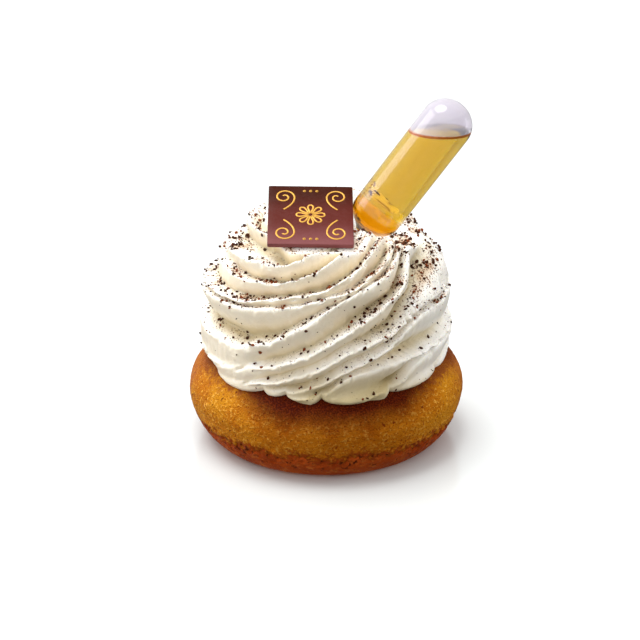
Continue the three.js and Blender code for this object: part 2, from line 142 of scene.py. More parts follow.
def ramp(material, value, low, high, to_low=0.0, to_high=1.0):
    """A value carried smoothly from one range to another."""
    inputs = {"Value": value, "From Min": low, "From Max": high, "To Min": to_low, "To Max": to_high}
    return add_node(material, "MapRange", inputs, interpolation_type="SMOOTHSTEP").outputs["Result"]


def blend(material, share, first, second):
    """Two colours mixed by a share. The colour sockets of a Mix node are its numbers 6 and 7."""
    return add_node(material, "Mix", {0: share, 6: first, 7: second}, data_type="RGBA").outputs[2]


def tint(material, tone, value, span, added, share=1.0):
    """A tone into which another is mixed, up to a share, as a value crosses a span."""
    return blend(material, ramp(material, value, *span, 0, share), tone, added)


def arithmetic(material, operation, first, second):
    """Two values joined by one sum, product or the like."""
    return add_node(material, "Math", {0: first, 1: second}, operation=operation).outputs["Value"]


def total(material, first, *others):
    """The sum of several values."""
    for value in others:
        first = arithmetic(material, "ADD", first, value)
    return first


def about_zero(material, value, width):
    """Noise from 0 to 1 carried to a range of this width with zero in its middle."""
    inputs = {0: value, 1: width, 2: -width / 2}
    return add_node(material, "Math", inputs, operation="MULTIPLY_ADD").outputs["Value"]


def bump(material, height, distance, strength=1.0):
    """Fine relief of a real height in millimetres, fed to the shader's normal."""
    inputs = {"Height": height, "Distance": distance * MM, "Strength": strength}
    feed_shader(material, "Normal", add_node(material, "Bump", inputs).outputs["Normal"])


print("tone helpers ready")

# %% [markdown]
# ## The studio
# The cake stands on a glossy pale board under one big soft lamp, a little to the left. A sun with a wide
# disc is that lamp. The world is a tent of cloth, bright above and on the left and dim on the right and low
# down, so the walls of the cream and the side of the cake lie in soft shade. An even world would light all
# sides alike. The board doesn't light the cake from below, because the lobes of the real cream are dark
# underneath.

# %% Board
BOARD_HALF = 3.0
BOARD_COLOUR = (0.7, 0.725, 0.72, 1)
BOARD_ROUGHNESS, BOARD_GLOSS = 0.2, 1.0

board_sockets = {
    "Base Color": BOARD_COLOUR,
    "Roughness": BOARD_ROUGHNESS,
    "Specular IOR Level": BOARD_GLOSS,
}
board_mesh = bpy.data.meshes.new("board")
board_corners = [(x * BOARD_HALF, y * BOARD_HALF, 0) for x, y in ((-1, -1), (1, -1), (1, 1), (-1, 1))]
board_mesh.from_pydata(board_corners, [], [(0, 1, 2, 3)])
board_mesh.materials.append(new_finish("white_board", board_sockets))
board = bpy.data.objects.new("board", board_mesh)
board.visible_diffuse = False
board.visible_glossy = False
bpy.context.collection.objects.link(board)
print("board", 2 * BOARD_HALF, "m wide")

# %% Tent
TENT_TOWARDS = Vector((-0.52, 0.02, 0.85))
TENT_BRIGHT, TENT_DIM, TENT_DIM_FROM = 1.5, 0.17, -0.6

world = bpy.data.worlds.new("tent")
world.use_nodes = True
bpy.context.scene.world = world
tent_nodes = world.node_tree.nodes
tent_links = world.node_tree.links
direction = tent_nodes.new("ShaderNodeTexCoord")
towards = tent_nodes.new("ShaderNodeVectorMath")
towards.operation = "DOT_PRODUCT"
towards.inputs[1].default_value = TENT_TOWARDS
tent_level = tent_nodes.new("ShaderNodeMapRange")
tent_level.inputs["From Min"].default_value = TENT_DIM_FROM
tent_level.inputs["To Min"].default_value = TENT_DIM
tent_level.inputs["To Max"].default_value = TENT_BRIGHT
tent_links.new(direction.outputs["Generated"], towards.inputs[0])
tent_links.new(towards.outputs["Value"], tent_level.inputs["Value"])
tent_links.new(tent_level.outputs["Result"], tent_nodes["Background"].inputs["Strength"])
tent_nodes["Background"].inputs["Color"].default_value = (1, 1, 1, 1)
bpy.context.scene.view_settings.view_transform = "Standard"
print("tent from", TENT_DIM, "to", TENT_BRIGHT)

# %% [markdown]
# ### Lamp and soft boxes
# Beside the big lamp there are two soft boxes. The one on the left only makes highlights, such as those in
# the tube and on the plaque. The one low on the right does the reverse: it lifts the cream's shaded side to a
# cool white and makes no highlight. One lamp for both would show in the wrong places.

# %% Lamp and soft boxes
LAMP_STRENGTH = 2.3
LAMP_SPREAD = math.radians(40)
LAMP_FROM = Vector((-0.26, 0.1, 0.96))
BOX_AWAY = 0.45
SIDE_BOX_FROM, SIDE_BOX_WIDTH, SIDE_BOX_POWER = Vector((-0.8, 0.12, 0.55)), 0.3, 0.9
FILL_BOX_FROM, FILL_BOX_WIDTH, FILL_BOX_POWER = Vector((0.96, 0.2, 0.18)), 0.2, 0.75


def soft_box(name, side, width, power):
    """A square lamp that looks at the cake from one side."""
    box_data = bpy.data.lights.new(name, "AREA")
    box_data.energy = power
    box_data.size = width
    box = bpy.data.objects.new(name, box_data)
    box.location = side * BOX_AWAY
    box.rotation_euler = side.to_track_quat("Z", "Y").to_euler()
    box.visible_camera = False
    bpy.context.collection.objects.link(box)
    return box


lamp_data = bpy.data.lights.new("lamp", "SUN")
lamp_data.energy = LAMP_STRENGTH
lamp_data.angle = LAMP_SPREAD
lamp = bpy.data.objects.new("lamp", lamp_data)
lamp.rotation_euler = LAMP_FROM.to_track_quat("Z", "Y").to_euler()
bpy.context.collection.objects.link(lamp)
side_box = soft_box("side_box", SIDE_BOX_FROM, SIDE_BOX_WIDTH, SIDE_BOX_POWER)
side_box.visible_diffuse = False
fill_box = soft_box("fill_box", FILL_BOX_FROM, FILL_BOX_WIDTH, FILL_BOX_POWER)
fill_box.visible_glossy = False
print("lamp from", [round(value, 2) for value in LAMP_FROM])

# %% [markdown]
# ## Meshes from arrays
# The pieces are surfaces given by formulas, so they are worked out as grids of points in millimetres and
# turned into meshes at once. That is quicker than moving vertices one by one, and the sizes stay readable.

# %% Helpers for pieces
BODY = "root"


def new_piece(name, points, faces, material):
    """A smooth mesh from points in millimetres."""
    mesh = bpy.data.meshes.new(name)
    mesh.from_pydata((np.asarray(points).reshape(-1, 3) * MM).tolist(), [], faces)
    mesh.polygons.foreach_set("use_smooth", [True] * len(mesh.polygons))
    mesh.materials.append(material)
    piece = bpy.data.objects.new(name, mesh)
    bpy.context.collection.objects.link(piece)
    return piece


def settle(piece, slot, *nodes):
    """The piece rides on the part's body and stands for these solids. Its slot is not used."""
    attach(piece, BODY)
    if nodes:
        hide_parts(*nodes)
    print(piece.name, len(piece.data.vertices), "vertices,", len(piece.data.polygons), "faces")


print("pieces ride on", BODY)

# %% Helpers for grids of points
SEED_STEP = 17.3


def turned_faces(rows, columns):
    """Quads between the rows of a grid that closes on itself sideways."""
    faces = []
    for row in range(rows - 1):
        for column in range(columns):
            after = (column + 1) % columns
            low, high = row * columns, (row + 1) * columns
            faces.append((low + column, low + after, high + after, high + column))
    return faces


def capped_faces(rows, columns):
    """The same quads with a cap on the first row and one on the last."""
    last = (rows - 1) * columns
    caps = [list(reversed(range(columns))), list(range(last, last + columns))]
    return turned_faces(rows, columns) + caps


def turned_points(radius, height, columns):
    """Rows of points round the Z axis, one row for each radius and height."""
    angle = np.linspace(0, 2 * math.pi, columns, endpoint=False)
    radius = np.asarray(radius)[:, None]
    height = np.asarray(height)[:, None] + 0 * angle
    return np.stack([radius * np.cos(angle), radius * np.sin(angle), height], axis=-1)


def lumps(points, grain, seed):
    """Noise from about -1 to 1 at points in millimetres, one lump about every grain millimetres."""
    moved = np.asarray(points).reshape(-1, 3) / grain + SEED_STEP * seed
    values = np.array([noise.noise(place) for place in moved.tolist()])
    return values.reshape(np.asarray(points).shape[:-1])


def smooth_step(value, low, high):
    """A soft step from 0 at low to 1 at high."""
    share = np.clip((value - low) / (high - low), 0, 1)
    return share * share * (3 - 2 * share)


print("grid helpers ready")

# %% [markdown]
# ## The cake
# The cake was baked in a round mould, so its form is a turned one: widest at the equator, with a sole that
# curves in to a flat foot. A lathe profile gives that form, and one soft swell on the right shoulder takes
# away its machined look. The grain, the pores and the torn crumbs where crust and crumb part are real relief
# on a fine grid, because a smooth cake with bump alone keeps a smooth outline.

# %% Cake profile
CAKE_RADIUS = 35
CAKE_EQUATOR_Z = 12.6
CAKE_FOOT_RADIUS = 26.9
CAKE_TOP_Z = 28.2
CAKE_CROWN_RADIUS = 9
CAKE_SOLE_POWER = 1.77
CAKE_CROWN_POWER = 1.93
PROFILE_STEPS = 400


def cake_profile(steps):
    """Radius and height from the foot to the crown."""
    turn = np.linspace(0, math.pi / 2, steps)
    cosine = np.cos(turn).clip(0)
    sole_reach = np.sin(turn) ** (2 / CAKE_SOLE_POWER)
    sole_rise = 1 - cosine ** (2 / CAKE_SOLE_POWER)
    crown_reach = cosine ** (2 / CAKE_CROWN_POWER)
    crown_rise = np.sin(turn) ** (2 / CAKE_CROWN_POWER)
    sole_radius = CAKE_FOOT_RADIUS + (CAKE_RADIUS - CAKE_FOOT_RADIUS) * sole_reach
    crown_radius = CAKE_CROWN_RADIUS + (CAKE_RADIUS - CAKE_CROWN_RADIUS) * crown_reach
    crown_height = CAKE_EQUATOR_Z + (CAKE_TOP_Z - CAKE_EQUATOR_Z) * crown_rise
    radius = np.concatenate([sole_radius, crown_radius[1:]])
    height = np.concatenate([CAKE_EQUATOR_Z * sole_rise, crown_height[1:]])
    return radius, height


profile_radius, profile_height = cake_profile(PROFILE_STEPS)
print("cake from z", profile_height[0], "to", profile_height[-1], "and radius", profile_radius.max())

# %% Rows of the cake
CAKE_ROWS = 150
CAKE_HIDDEN_FROM = 24.5
POLE_RADIUS = 0.5
FOOT_RIM = 1


def cake_rows():
    """Profile points evenly spaced along the side that shows, with the flat foot and the hidden top added."""
    shown = profile_height < CAKE_HIDDEN_FROM
    radius, height = profile_radius[shown], profile_height[shown]
    length = np.concatenate([[0], np.cumsum(np.hypot(np.diff(radius), np.diff(height)))])
    even = np.linspace(0, length[-1], CAKE_ROWS)
    radius, height = np.interp(even, length, radius), np.interp(even, length, height)
    hidden = [(CAKE_CROWN_RADIUS, CAKE_TOP_Z), (POLE_RADIUS, CAKE_TOP_Z)]
    foot = [(POLE_RADIUS, 0), (CAKE_FOOT_RADIUS / 2, 0), (CAKE_FOOT_RADIUS - FOOT_RIM, 0)]
    return np.array([*foot, *zip(radius, height), *hidden])


rows_of_cake = cake_rows()
print("rows of the cake:", len(rows_of_cake))

# %% Relief of the cake
CAKE_COLUMNS = 600
SWELL_GRAIN, SWELL_HEIGHT, SWELL_SEED = 9, 0.3, 1
GRAIN_SIZE, GRAIN_HEIGHT, GRAIN_SEED = 1.1, 0.11, 2
PORE_GRAIN, PORE_DEPTH, PORE_START, PORE_SEED = 2.3, 0.22, 0.45, 3
TORN_GRAIN, TORN_DEPTH, TORN_SEED = 1.4, 1.2, 4
TORN_Z, TORN_BAND = 6.7, 2.2
RELIEF_FROM_Z, RELIEF_FULL_Z, RELIEF_PAST = 0.2, 2.5, 1
SHOULDER_PLACE, SHOULDER_WAY = np.array((28.5, -3, 22.5)), np.array((0.7, 0, 0.7))
SHOULDER_REACH, SHOULDER_SWELL = 8, 1.8


def cake_points():
    """The cake's grid with the relief of its crumb."""
    points = turned_points(rows_of_cake[:, 0], rows_of_cake[:, 1], CAKE_COLUMNS)
    height = points[..., 2]
    outward = points * (1, 1, 0)
    outward = outward / np.linalg.norm(outward, axis=-1, keepdims=True)
    relief = SWELL_HEIGHT * lumps(points, SWELL_GRAIN, SWELL_SEED)
    relief += GRAIN_HEIGHT * lumps(points, GRAIN_SIZE, GRAIN_SEED)
    relief -= PORE_DEPTH * np.clip(lumps(points, PORE_GRAIN, PORE_SEED) - PORE_START, 0, None)
    torn = np.exp(-(((height - TORN_Z) / TORN_BAND) ** 2))
    relief -= TORN_DEPTH * torn * np.clip(lumps(points, TORN_GRAIN, TORN_SEED), 0, None)
    shown = smooth_step(height, RELIEF_FROM_Z, RELIEF_FULL_Z) * (height < CAKE_HIDDEN_FROM + RELIEF_PAST)
    points = points + outward * (relief * shown - SWELL_HEIGHT * shown)[..., None]
    away = np.linalg.norm(points - SHOULDER_PLACE, axis=-1) / SHOULDER_REACH
    return points + SHOULDER_SWELL * np.exp(-(away ** 2))[..., None] * SHOULDER_WAY


cake_grid = cake_points()
print("cake grid", cake_grid.shape, "widest", round(float(np.hypot(*cake_grid[..., :2].T).max()), 2))

# %% [markdown]
# ### Crumb and crust
# The upper side is golden crumb with a fine pale grain and dark pinholes. The sole, which lay in the mould,
# is a red-brown crust with a scorched and pitted border. Beside the cream the crumb is browned. In front,
# where most syrup ran down, it is wet and dark, and part of that darkness is painted shade of the overhanging
# cream.
# Low down the crumb is lighter, which is painted bounce light from the board. The zones follow the height on
# the cake and the way round it, and noise roughens their borders, as baking does. Painting an image would
# need one view for each side.

# %% Noises that the zones share
PATCH_GRAIN, CRAG_GRAIN, FLECK_GRAIN, FINE_GRAIN = 7.0, 1.8, 0.75, 0.35
ROUGH_DETAIL, PLAIN_DETAIL = 3.0, 1.0
EDGE_WAVE, EDGE_CRAGS, EDGE_FLECKS = 3.2, 7.0, 5.0
WET_AND_SHADED_TOWARDS = Vector((0.087, -0.996, 0))


def crumb_noises(material):
    """The place on the cake, the way that it faces, and noises of several sizes."""
    place = place_in_mm(material)
    flat = add_node(material, "VectorMath", {0: place, 1: (1, 1, 0)}, operation="MULTIPLY").outputs["Vector"]
    way = add_node(material, "VectorMath", {0: flat}, operation="NORMALIZE").outputs["Vector"]
    wet_and_shaded = add_node(material, "VectorMath", {0: way, 1: WET_AND_SHADED_TOWARDS}, operation="DOT_PRODUCT")
    patches = blotches(material, place, PATCH_GRAIN)
    crags = blotches(material, place, CRAG_GRAIN, ROUGH_DETAIL)
    flecks = blotches(material, place, FLECK_GRAIN, ROUGH_DETAIL)
    return SimpleNamespace(
        place=place,
        height=add_node(material, "SeparateXYZ", {0: place}).outputs["Z"],
        to_the_front=add_node(material, "SeparateXYZ", {0: way}).outputs["Y"],
        wet_and_shaded_side=wet_and_shaded.outputs["Value"],
        patches=patches,
        crags=crags,
        flecks=flecks,
        fine=blotches(material, place, FINE_GRAIN, PLAIN_DETAIL),
        wavy=about_zero(material, patches, EDGE_WAVE),
        ragged=about_zero(material, crags, EDGE_CRAGS),
        crumbly=about_zero(material, flecks, EDGE_FLECKS),
    )


print("borders of the zones waver in a band of up to", EDGE_WAVE + EDGE_CRAGS + EDGE_FLECKS, "mm")

# %% Golden crumb
GOLDEN_SPAN, PALE_SPAN, DARK_SPAN = (0.35, 0.7), (0.52, 0.7), (0.42, 0.3)
BOUNCE_LIGHT_Z, BOUNCE_LIGHT_SHARE = (12.5, 6), 0.7
PINHOLE_GRAIN, PINHOLE_SPAN = 1.3, (0.69, 0.74)
FLANK_SPAN, FLANK_SHARE, FLANK_RAGGED = (0.38, 0.08), 0.6, 0.5
WET_AND_SHADE_SPAN, MOIST_AND_SHADE_SHARE = (0.55, 0.98), 0.5


def golden_crumb(material, at):
    """Golden crumb with painted bounce light low down, grain and pinholes, browner at the flanks, and moist
    in front, with painted shade there.
    """
    tone = tint(material, colour(196, 128, 22), at.patches, GOLDEN_SPAN, colour(178, 104, 11))
    # Painted bounce light: the crumb is lighter and yellower low down, where the board would light it from
    # below.
    tone = tint(material, tone, at.height, BOUNCE_LIGHT_Z, colour(236, 148, 26), BOUNCE_LIGHT_SHARE)
    tone = tint(material, tone, at.flecks, PALE_SPAN, colour(230, 168, 68))
    tone = tint(material, tone, at.fine, DARK_SPAN, colour(138, 68, 4))
    holes = blotches(material, at.place, PINHOLE_GRAIN, PLAIN_DETAIL)
    tone = tint(material, tone, holes, PINHOLE_SPAN, colour(92, 38, 6))
    facing = arithmetic(material, "ABSOLUTE", at.to_the_front, 0)
    uneven = total(material, facing, about_zero(material, at.crags, FLANK_RAGGED))
    tone = tint(material, tone, uneven, FLANK_SPAN, colour(150, 72, 30), FLANK_SHARE)
    # Moist in front, and darker there also as painted shade of the cream above.
    return tint(material, tone, at.wet_and_shaded_side, WET_AND_SHADE_SPAN, colour(144, 60, 2), MOIST_AND_SHADE_SHARE)


print("sunny crumb below z", BOUNCE_LIGHT_Z[0])

# %% Crust and its border
CRUST_SPAN, CRAG_SPAN = (0.3, 0.7), (0.5, 0.75)
SCORCH_Z, GOLDEN_Z = (6.0, 6.8), (6.5, 9.7)
PIT_GRAIN, PIT_SPAN = 1.5, (0.57, 0.68)
PIT_TOP_Z, PIT_FOOT_Z = (9.5, 7), (2, 4.5)


def baked_side(material, at):
    """Crust on the sole, a scorched border with dark pits, and golden crumb above it."""
    tone = tint(material, colour(178, 76, 22), at.patches, CRUST_SPAN, colour(150, 56, 14))
    tone = tint(material, tone, at.crags, CRAG_SPAN, colour(196, 104, 40))
    level = total(material, at.height, at.wavy, at.ragged, at.crumbly)
    scorched = blend(material, at.flecks, colour(100, 30, 6), colour(170, 76, 18))
    tone = tint(material, tone, level, SCORCH_Z, scorched)
    tone = tint(material, tone, level, GOLDEN_Z, golden_crumb(material, at))
    below, above = ramp(material, at.height, *PIT_TOP_Z), ramp(material, at.height, *PIT_FOOT_Z)
    pits = ramp(material, blotches(material, at.place, PIT_GRAIN), *PIT_SPAN)
    pitted = arithmetic(material, "MULTIPLY", pits, arithmetic(material, "MULTIPLY", below, above))
    return blend(material, pitted, tone, colour(86, 28, 6))


print("crust ends at about z", sum(SCORCH_Z) / 2)

# %% Syrup with painted shade, and the whole finish
FRINGE_Z, FRINGE_SHARE = (18.6, 21.4), 0.9
SOAK_AND_SHADE_Z, DRY_AND_LIT_SINK, WET_AND_SHADE_RISE = (17, 24.5), -1.5, 5
SYRUP_AND_SHADE_SPAN = (0.4, 0.75)
DULL_SPAN, SLICK_ROUGHNESS, DULL_ROUGHNESS = (0.3, 0.7), 0.38, 0.62
CRUMB_GLOSS, CRUMB_BUMP = 0.03, 0.27


def crumb_finish():
    """The cake's finish: the baked side with a browned fringe, and syrup with painted shade beside the cream.
    """
    material = new_finish("baked_crumb", {"Specular IOR Level": CRUMB_GLOSS})
    at = crumb_noises(material)
    fringe_level = total(material, at.height, at.ragged, at.crumbly)
    tone = tint(material, baked_side(material, at), fringe_level, FRINGE_Z, colour(138, 70, 26), FRINGE_SHARE)
    # Syrup and painted shade: the crumb turns near black under the cream's lobes, most in front, where the
    # overhanging cream shades it.
    wetter_and_shadier = ramp(material, at.wet_and_shaded_side, *WET_AND_SHADE_SPAN, DRY_AND_LIT_SINK, WET_AND_SHADE_RISE)
    soak_and_shade_level = total(material, at.height, at.wavy, wetter_and_shadier)
    syrup_and_shade = tint(material, colour(62, 11, 1), at.fine, SYRUP_AND_SHADE_SPAN, colour(104, 36, 4))
    feed_shader(material, "Base Color", tint(material, tone, soak_and_shade_level, SOAK_AND_SHADE_Z, syrup_and_shade))
    dullness = ramp(material, at.flecks, *DULL_SPAN, SLICK_ROUGHNESS, DULL_ROUGHNESS)
    feed_shader(material, "Roughness", dullness)
    bump(material, total(material, at.flecks, at.fine), CRUMB_BUMP)
    return material


cake = new_piece("cake", cake_grid, turned_faces(len(cake_grid), CAKE_COLUMNS), crumb_finish())
settle(cake, "crumb", "baba")

# %% [markdown]
# ## The plaque's and the pipette's places
# Both lean, so each has a frame of its own: a centre and a few turns. The cream needs these frames before it
# is made, because it gives way under the plaque and round the pipette.

# %% Frames of the leaning pieces
PLAQUE_SIDE = 20.5
PLAQUE_THICKNESS = 1.2
PLAQUE_CENTRE = Vector((-3.7, -8, 59.5))
PLAQUE_TURN, PLAQUE_TILT, PLAQUE_ROLL = (math.radians(angle) for angle in (2.9, 24.5, -2.3))
PIPETTE_BASE = Vector((12.6, -3, 58.9))
PIPETTE_AZIMUTH, PIPETTE_TILT = (math.radians(angle) for angle in (-6.6, 35.2))

plaque_frame = (
    Matrix.Translation(PLAQUE_CENTRE)
    @ Matrix.Rotation(PLAQUE_TURN, 4, "Z")
    @ Matrix.Rotation(PLAQUE_TILT, 4, "X")
    @ Matrix.Rotation(PLAQUE_ROLL, 4, "Z")
)
pipette_frame = (
    Matrix.Translation(PIPETTE_BASE)
    @ Matrix.Rotation(PIPETTE_AZIMUTH, 4, "Z")
    @ Matrix.Rotation(PIPETTE_TILT, 4, "Y")
)
pipette_axis = pipette_frame.to_3x3().col[2]


def carried(points, matrix):
    """Points moved by a frame's matrix."""
    table = np.array(matrix)
    return np.asarray(points) @ table[:3, :3].T + table[:3, 3]


print("tube axis", [round(value, 3) for value in pipette_axis])

# %% [markdown]
# ## The piped cream
# A star nozzle leaves a rope with ridges, wound up and inwards in a swirl. The mound's outline is one curve
# from the skirt to the summit, and six ridges wind up it like the threads of a screw. Sculpting would do it
# too, but a formula keeps each ridge whole from its start at the skirt to the summit.

# %% Outline of the mound
SKIRT_RADIUS, SKIRT_Z = 31.1, 19.8
SKIRT_CURL = 7
BELLY_RADIUS, BELLY_Z = 31.6, 31.2
SUMMIT_Z = 61.2
DOME_RISE_POWER, DOME_REACH_POWER = 2.26, 2.95
OUTLINE_STEPS = 300


def mound_outline():
    """Length from the skirt, radius and height of points up the mound."""
    share = np.linspace(0, 1, OUTLINE_STEPS + 1)
    angle = share[1:] * math.pi / 2
    skirt_radius = BELLY_RADIUS - (BELLY_RADIUS - SKIRT_RADIUS) * (1 - share) ** SKIRT_CURL
    skirt_height = SKIRT_Z + (BELLY_Z - SKIRT_Z) * share
    dome_radius = BELLY_RADIUS * np.cos(angle).clip(0) ** (2 / DOME_REACH_POWER)
    dome_height = BELLY_Z + (SUMMIT_Z - BELLY_Z) * np.sin(angle) ** (2 / DOME_RISE_POWER)
    radius = np.concatenate([skirt_radius, dome_radius])
    height = np.concatenate([skirt_height, dome_height])
    length = np.concatenate([[0], np.cumsum(np.hypot(np.diff(radius), np.diff(height)))])
    return length, radius, height


outline_length, outline_radius, outline_height = mound_outline()
OUTLINE_END = outline_length[-1]
outward_radius = np.gradient(outline_height, outline_length)
outward_height = -np.gradient(outline_radius, outline_length)
print("outline of the mound is", round(OUTLINE_END, 1), "mm long")

# %% [markdown]
# ### Crests of the ridges
# A hand-piped rope doesn't climb evenly: the ridges rise steeply at the front right and lie flat elsewhere.
# So each crest is given by its length up the outline at a few stations round the cake, as the real one shows
# it, and an eased curve runs through them. A plain helix would be simpler, but its ridges would all be alike.

# %% Stations of the crests
STATIONS = (180, 220, 240, 260, 280, 300, 320, 360)
FIRST_RIDGE, LAST_RIDGE = -2, 8
CRESTS = (
    (-25, -23, -22, -20, -16, -10, -4, 3),
    (-20, -18, -17, -13, -8, 1, 8.8, 9.8),
    (-14, -12, -8, -2, 7, 9.2, 9.9, 10.8),
    (-8, -5, -1, 3.8, 9, 13.6, 19.5, 20.6),
    (-4, 0, 3.5, 7.6, 13.4, 16.8, 21.7, 22.6),
    (4, 5.5, 8, 12.2, 18.7, 24.9, 37, 41.5),
    (12.3, 11.8, 14.1, 20.1, 27.6, 32.6, 39.5, 43.5),
    (20.8, 21.9, 23.1, 25.7, 29.1, 35, 42, 45.5),
    (22.3, 23.3, 25.1, 27.9, 32.7, 40.2, 44.5, 47.5),
    (29.2, 28.2, 29, 33.2, 39.8, 44.5, 47.5, 49.5),
    (31.5, 33, 33.4, 39.3, 44, 47.5, 50, 51.5),
)
LOW_SPACING, SUMMIT_PACKING = 5, 0.72


def station_lengths(ridge):
    """Outline length of a crest at each station.

    Ridges below the first row lie in the cake, and those above the last crowd together at the summit.
    """
    inside = np.array(CRESTS[min(max(ridge, FIRST_RIDGE), LAST_RIDGE) - FIRST_RIDGE])
    if ridge < FIRST_RIDGE:
        return inside - LOW_SPACING * (FIRST_RIDGE - ridge)
    return OUTLINE_END - (OUTLINE_END - inside) * SUMMIT_PACKING ** max(ridge - LAST_RIDGE, 0)


def eased(place, knots, values):
    """A smooth curve through knots that doesn't overshoot them."""
    width = np.diff(knots)
    rise = np.diff(values) / width
    same_way = rise[:-1] * rise[1:] > 0
    together = np.where(same_way, rise[:-1] + rise[1:], 1)
    slope = np.concatenate([[0], np.where(same_way, 2 * rise[:-1] * rise[1:] / together, 0), [0]])
    cell = np.clip(np.searchsorted(knots, place) - 1, 0, len(width) - 1)
    share = (place - knots[cell]) / width[cell]
    ease = share * share * (3 - 2 * share)
    leave = share * (1 - share) ** 2 * slope[cell] * width[cell]
    arrive = share * share * (share - 1) * slope[cell + 1] * width[cell]
    return values[cell] * (1 - ease) + values[cell + 1] * ease + leave + arrive


print(len(CRESTS), "crests at", len(STATIONS), "stations")

# %% Crests with their waves
RIDGES = 6
SKIRT_TUCK = 6
WAVES = ((0.3, 2.3), (0.4, 5), (0.3, 13), (0.16, 31))
WAVE_SEED = 3.7


def rope_angle(ridge, azimuth):
    """Angle in degrees run along the rope, which goes on from turn to turn."""
    return azimuth + 360 * (ridge // RIDGES)


def crest_length(ridge, azimuth):
    """Outline length of a crest with its waves, tucked into the cake below the skirt."""
    kind, turn = ridge % RIDGES, ridge // RIDGES
    turns = range(turn - 1, turn + 2)
    knots = np.concatenate([np.array(STATIONS) + 360 * number for number in turns])
    values = np.concatenate([station_lengths(kind + RIDGES * number) for number in turns])
    angle = rope_angle(ridge, azimuth)
    length = eased(angle, knots, values)
    for height, rate in WAVES:
        places = [(value, WAVE_SEED * kind, 0) for value in rate * np.radians(angle)]
        length = length + height * np.array([noise.noise(place) for place in places])
    tucked = -SKIRT_TUCK * (1 - np.exp(np.minimum(length, 0) / SKIRT_TUCK))
    return np.where(length < 0, tucked, np.minimum(length, OUTLINE_END))


front = np.array([270.0])
print("crests at the front:", [round(float(crest_length(ridge, front)[0]), 1) for ridge in range(12)])

# %% [markdown]
# ### Grooves
# Each ridge has a soft crest, a narrow ledge that runs in from it to the groove, and a wall that swells up to
# the next crest. The groove is deep where two ridges lie far apart. It is shallow on the first coil near the
# start of the rope, where the nozzle was still filling.

# %% Section of a ridge
GROOVE_DEPTH, GROOVE_SPACING = 6, 4.8
LEDGE_RISE, LEDGE_LEAST, LEDGE_MOST, LEAST_GAP = 1.6, 0.12, 0.34, 0.01
WIDE_RIDGE, WIDE_LEDGE = 2, 0.72
WIDE_FROM, WIDE_TO = (300, 322), (585, 605)
GROOVE_WAVE, GROOVE_WAVE_RATE = 0.18, 3.7
FLANK_SHALLOWING, FLANK_POWER = 0.4, 4
ROPE_START_RIDGE, ROPE_START_GROOVE = 3, 0.12
ROPE_SHALLOW_FROM, ROPE_SHALLOW_TO = (100, 150), (230, 246)


def groove_depth(ridge, azimuth, gap):
    """Depth of the groove above a ridge."""
    wave = 1 + GROOVE_WAVE * np.sin(GROOVE_WAVE_RATE * np.radians(rope_angle(ridge, azimuth)))
    flank = 1 - FLANK_SHALLOWING * np.cos(np.radians(azimuth)).clip(0) ** FLANK_POWER
    depth = GROOVE_DEPTH * (1 - np.exp(-gap / GROOVE_SPACING)) * wave * flank
    if ridge > ROPE_START_RIDGE:
        return depth
    shallow = smooth_step(azimuth, *ROPE_SHALLOW_FROM) * (1 - smooth_step(azimuth, *ROPE_SHALLOW_TO))
    return depth * (1 - (1 - ROPE_START_GROOVE) * shallow)


def ledge_share(ridge, azimuth, gap):
    """Share of the way to the next crest at which the groove lies.

    One ridge has a wide ledge high on the right, which runs on round the back to the left of the plaque.
    """
    narrow = (LEDGE_RISE / gap.clip(LEAST_GAP)).clip(LEDGE_LEAST, LEDGE_MOST)
    if ridge % RIDGES != WIDE_RIDGE:
        return narrow
    angle = rope_angle(ridge, azimuth)
    wide = smooth_step(angle, *WIDE_FROM) * (1 - smooth_step(angle, *WIDE_TO))
    return narrow + (WIDE_LEDGE - narrow) * wide


print("groove over a gap of 8 mm:", round(float(groove_depth(4, front, 8)[0]), 2), "mm deep")

# %% [markdown]
# ### The skirt's lobes
# Where the rope was laid down, its folds bulge out over the cake in round lobes with sharp notches between
# them. Each lobe is an arch along the lower edge, given by its azimuth, half its width and its depth. The
# edge lies on the cake's own profile, so no gap shows.

# %% Lower edge of the cream
NOTCH_Z = 22.4
LOBES = (
    (224, 16.5, 1.4), (246, 6.5, 1.0), (260, 8.5, 1.8), (284, 16.5, 2.4), (316, 17, 1.6), (350, 18, 0.8),
    (386, 18, 1.3), (421, 17, 0.9), (456, 18, 1.4), (491, 17, 1.0), (525, 17, 0.8),
)
EDGE_OVERHANG, EDGE_BLEND, EDGE_TUCK = 0.7, 6, 0.9


def edge_height(azimuth):
    """Height of the lower edge: one arch for each lobe."""
    drop = np.zeros_like(azimuth)
    for middle, half, depth in LOBES:
        away = ((azimuth - middle + 180) % 360 - 180) / half
        drop = np.maximum(drop, depth * np.sqrt((1 - away ** 2).clip(0)))
    return NOTCH_Z - drop


def edge_radius(azimuth):
    """Radius of the lower edge, a little outside the cake at that height."""
    return np.interp(edge_height(azimuth), profile_height, profile_radius) + EDGE_OVERHANG


print("edge at the front:", edge_height(front).round(1), "mm up at radius", edge_radius(front).round(1))

# %% [markdown]
# ### Where the cream gives way
# The plaque was pressed onto the swirl and the pipette pushed into it. A Boolean would cut sharp holes. Here
# the points are pushed down softly instead, so the cream dips under the plaque and closes on the tube.

# %% Cream under the plaque and round the pipette
PRESS_SOFTNESS, PRESS_MOST = 0.8, 30
PLAQUE_PRESS_MARGIN, PLAQUE_PRESS_SLOPE = 1, 1.1
PIPETTE_PRESS_DEPTH, PIPETTE_PRESS_RADIUS, PIPETTE_PRESS_SLOPE = 6.8, 5, 0.9
PIPETTE_PRESS_SPRING = 0.1
CLEARANCE = 0.3


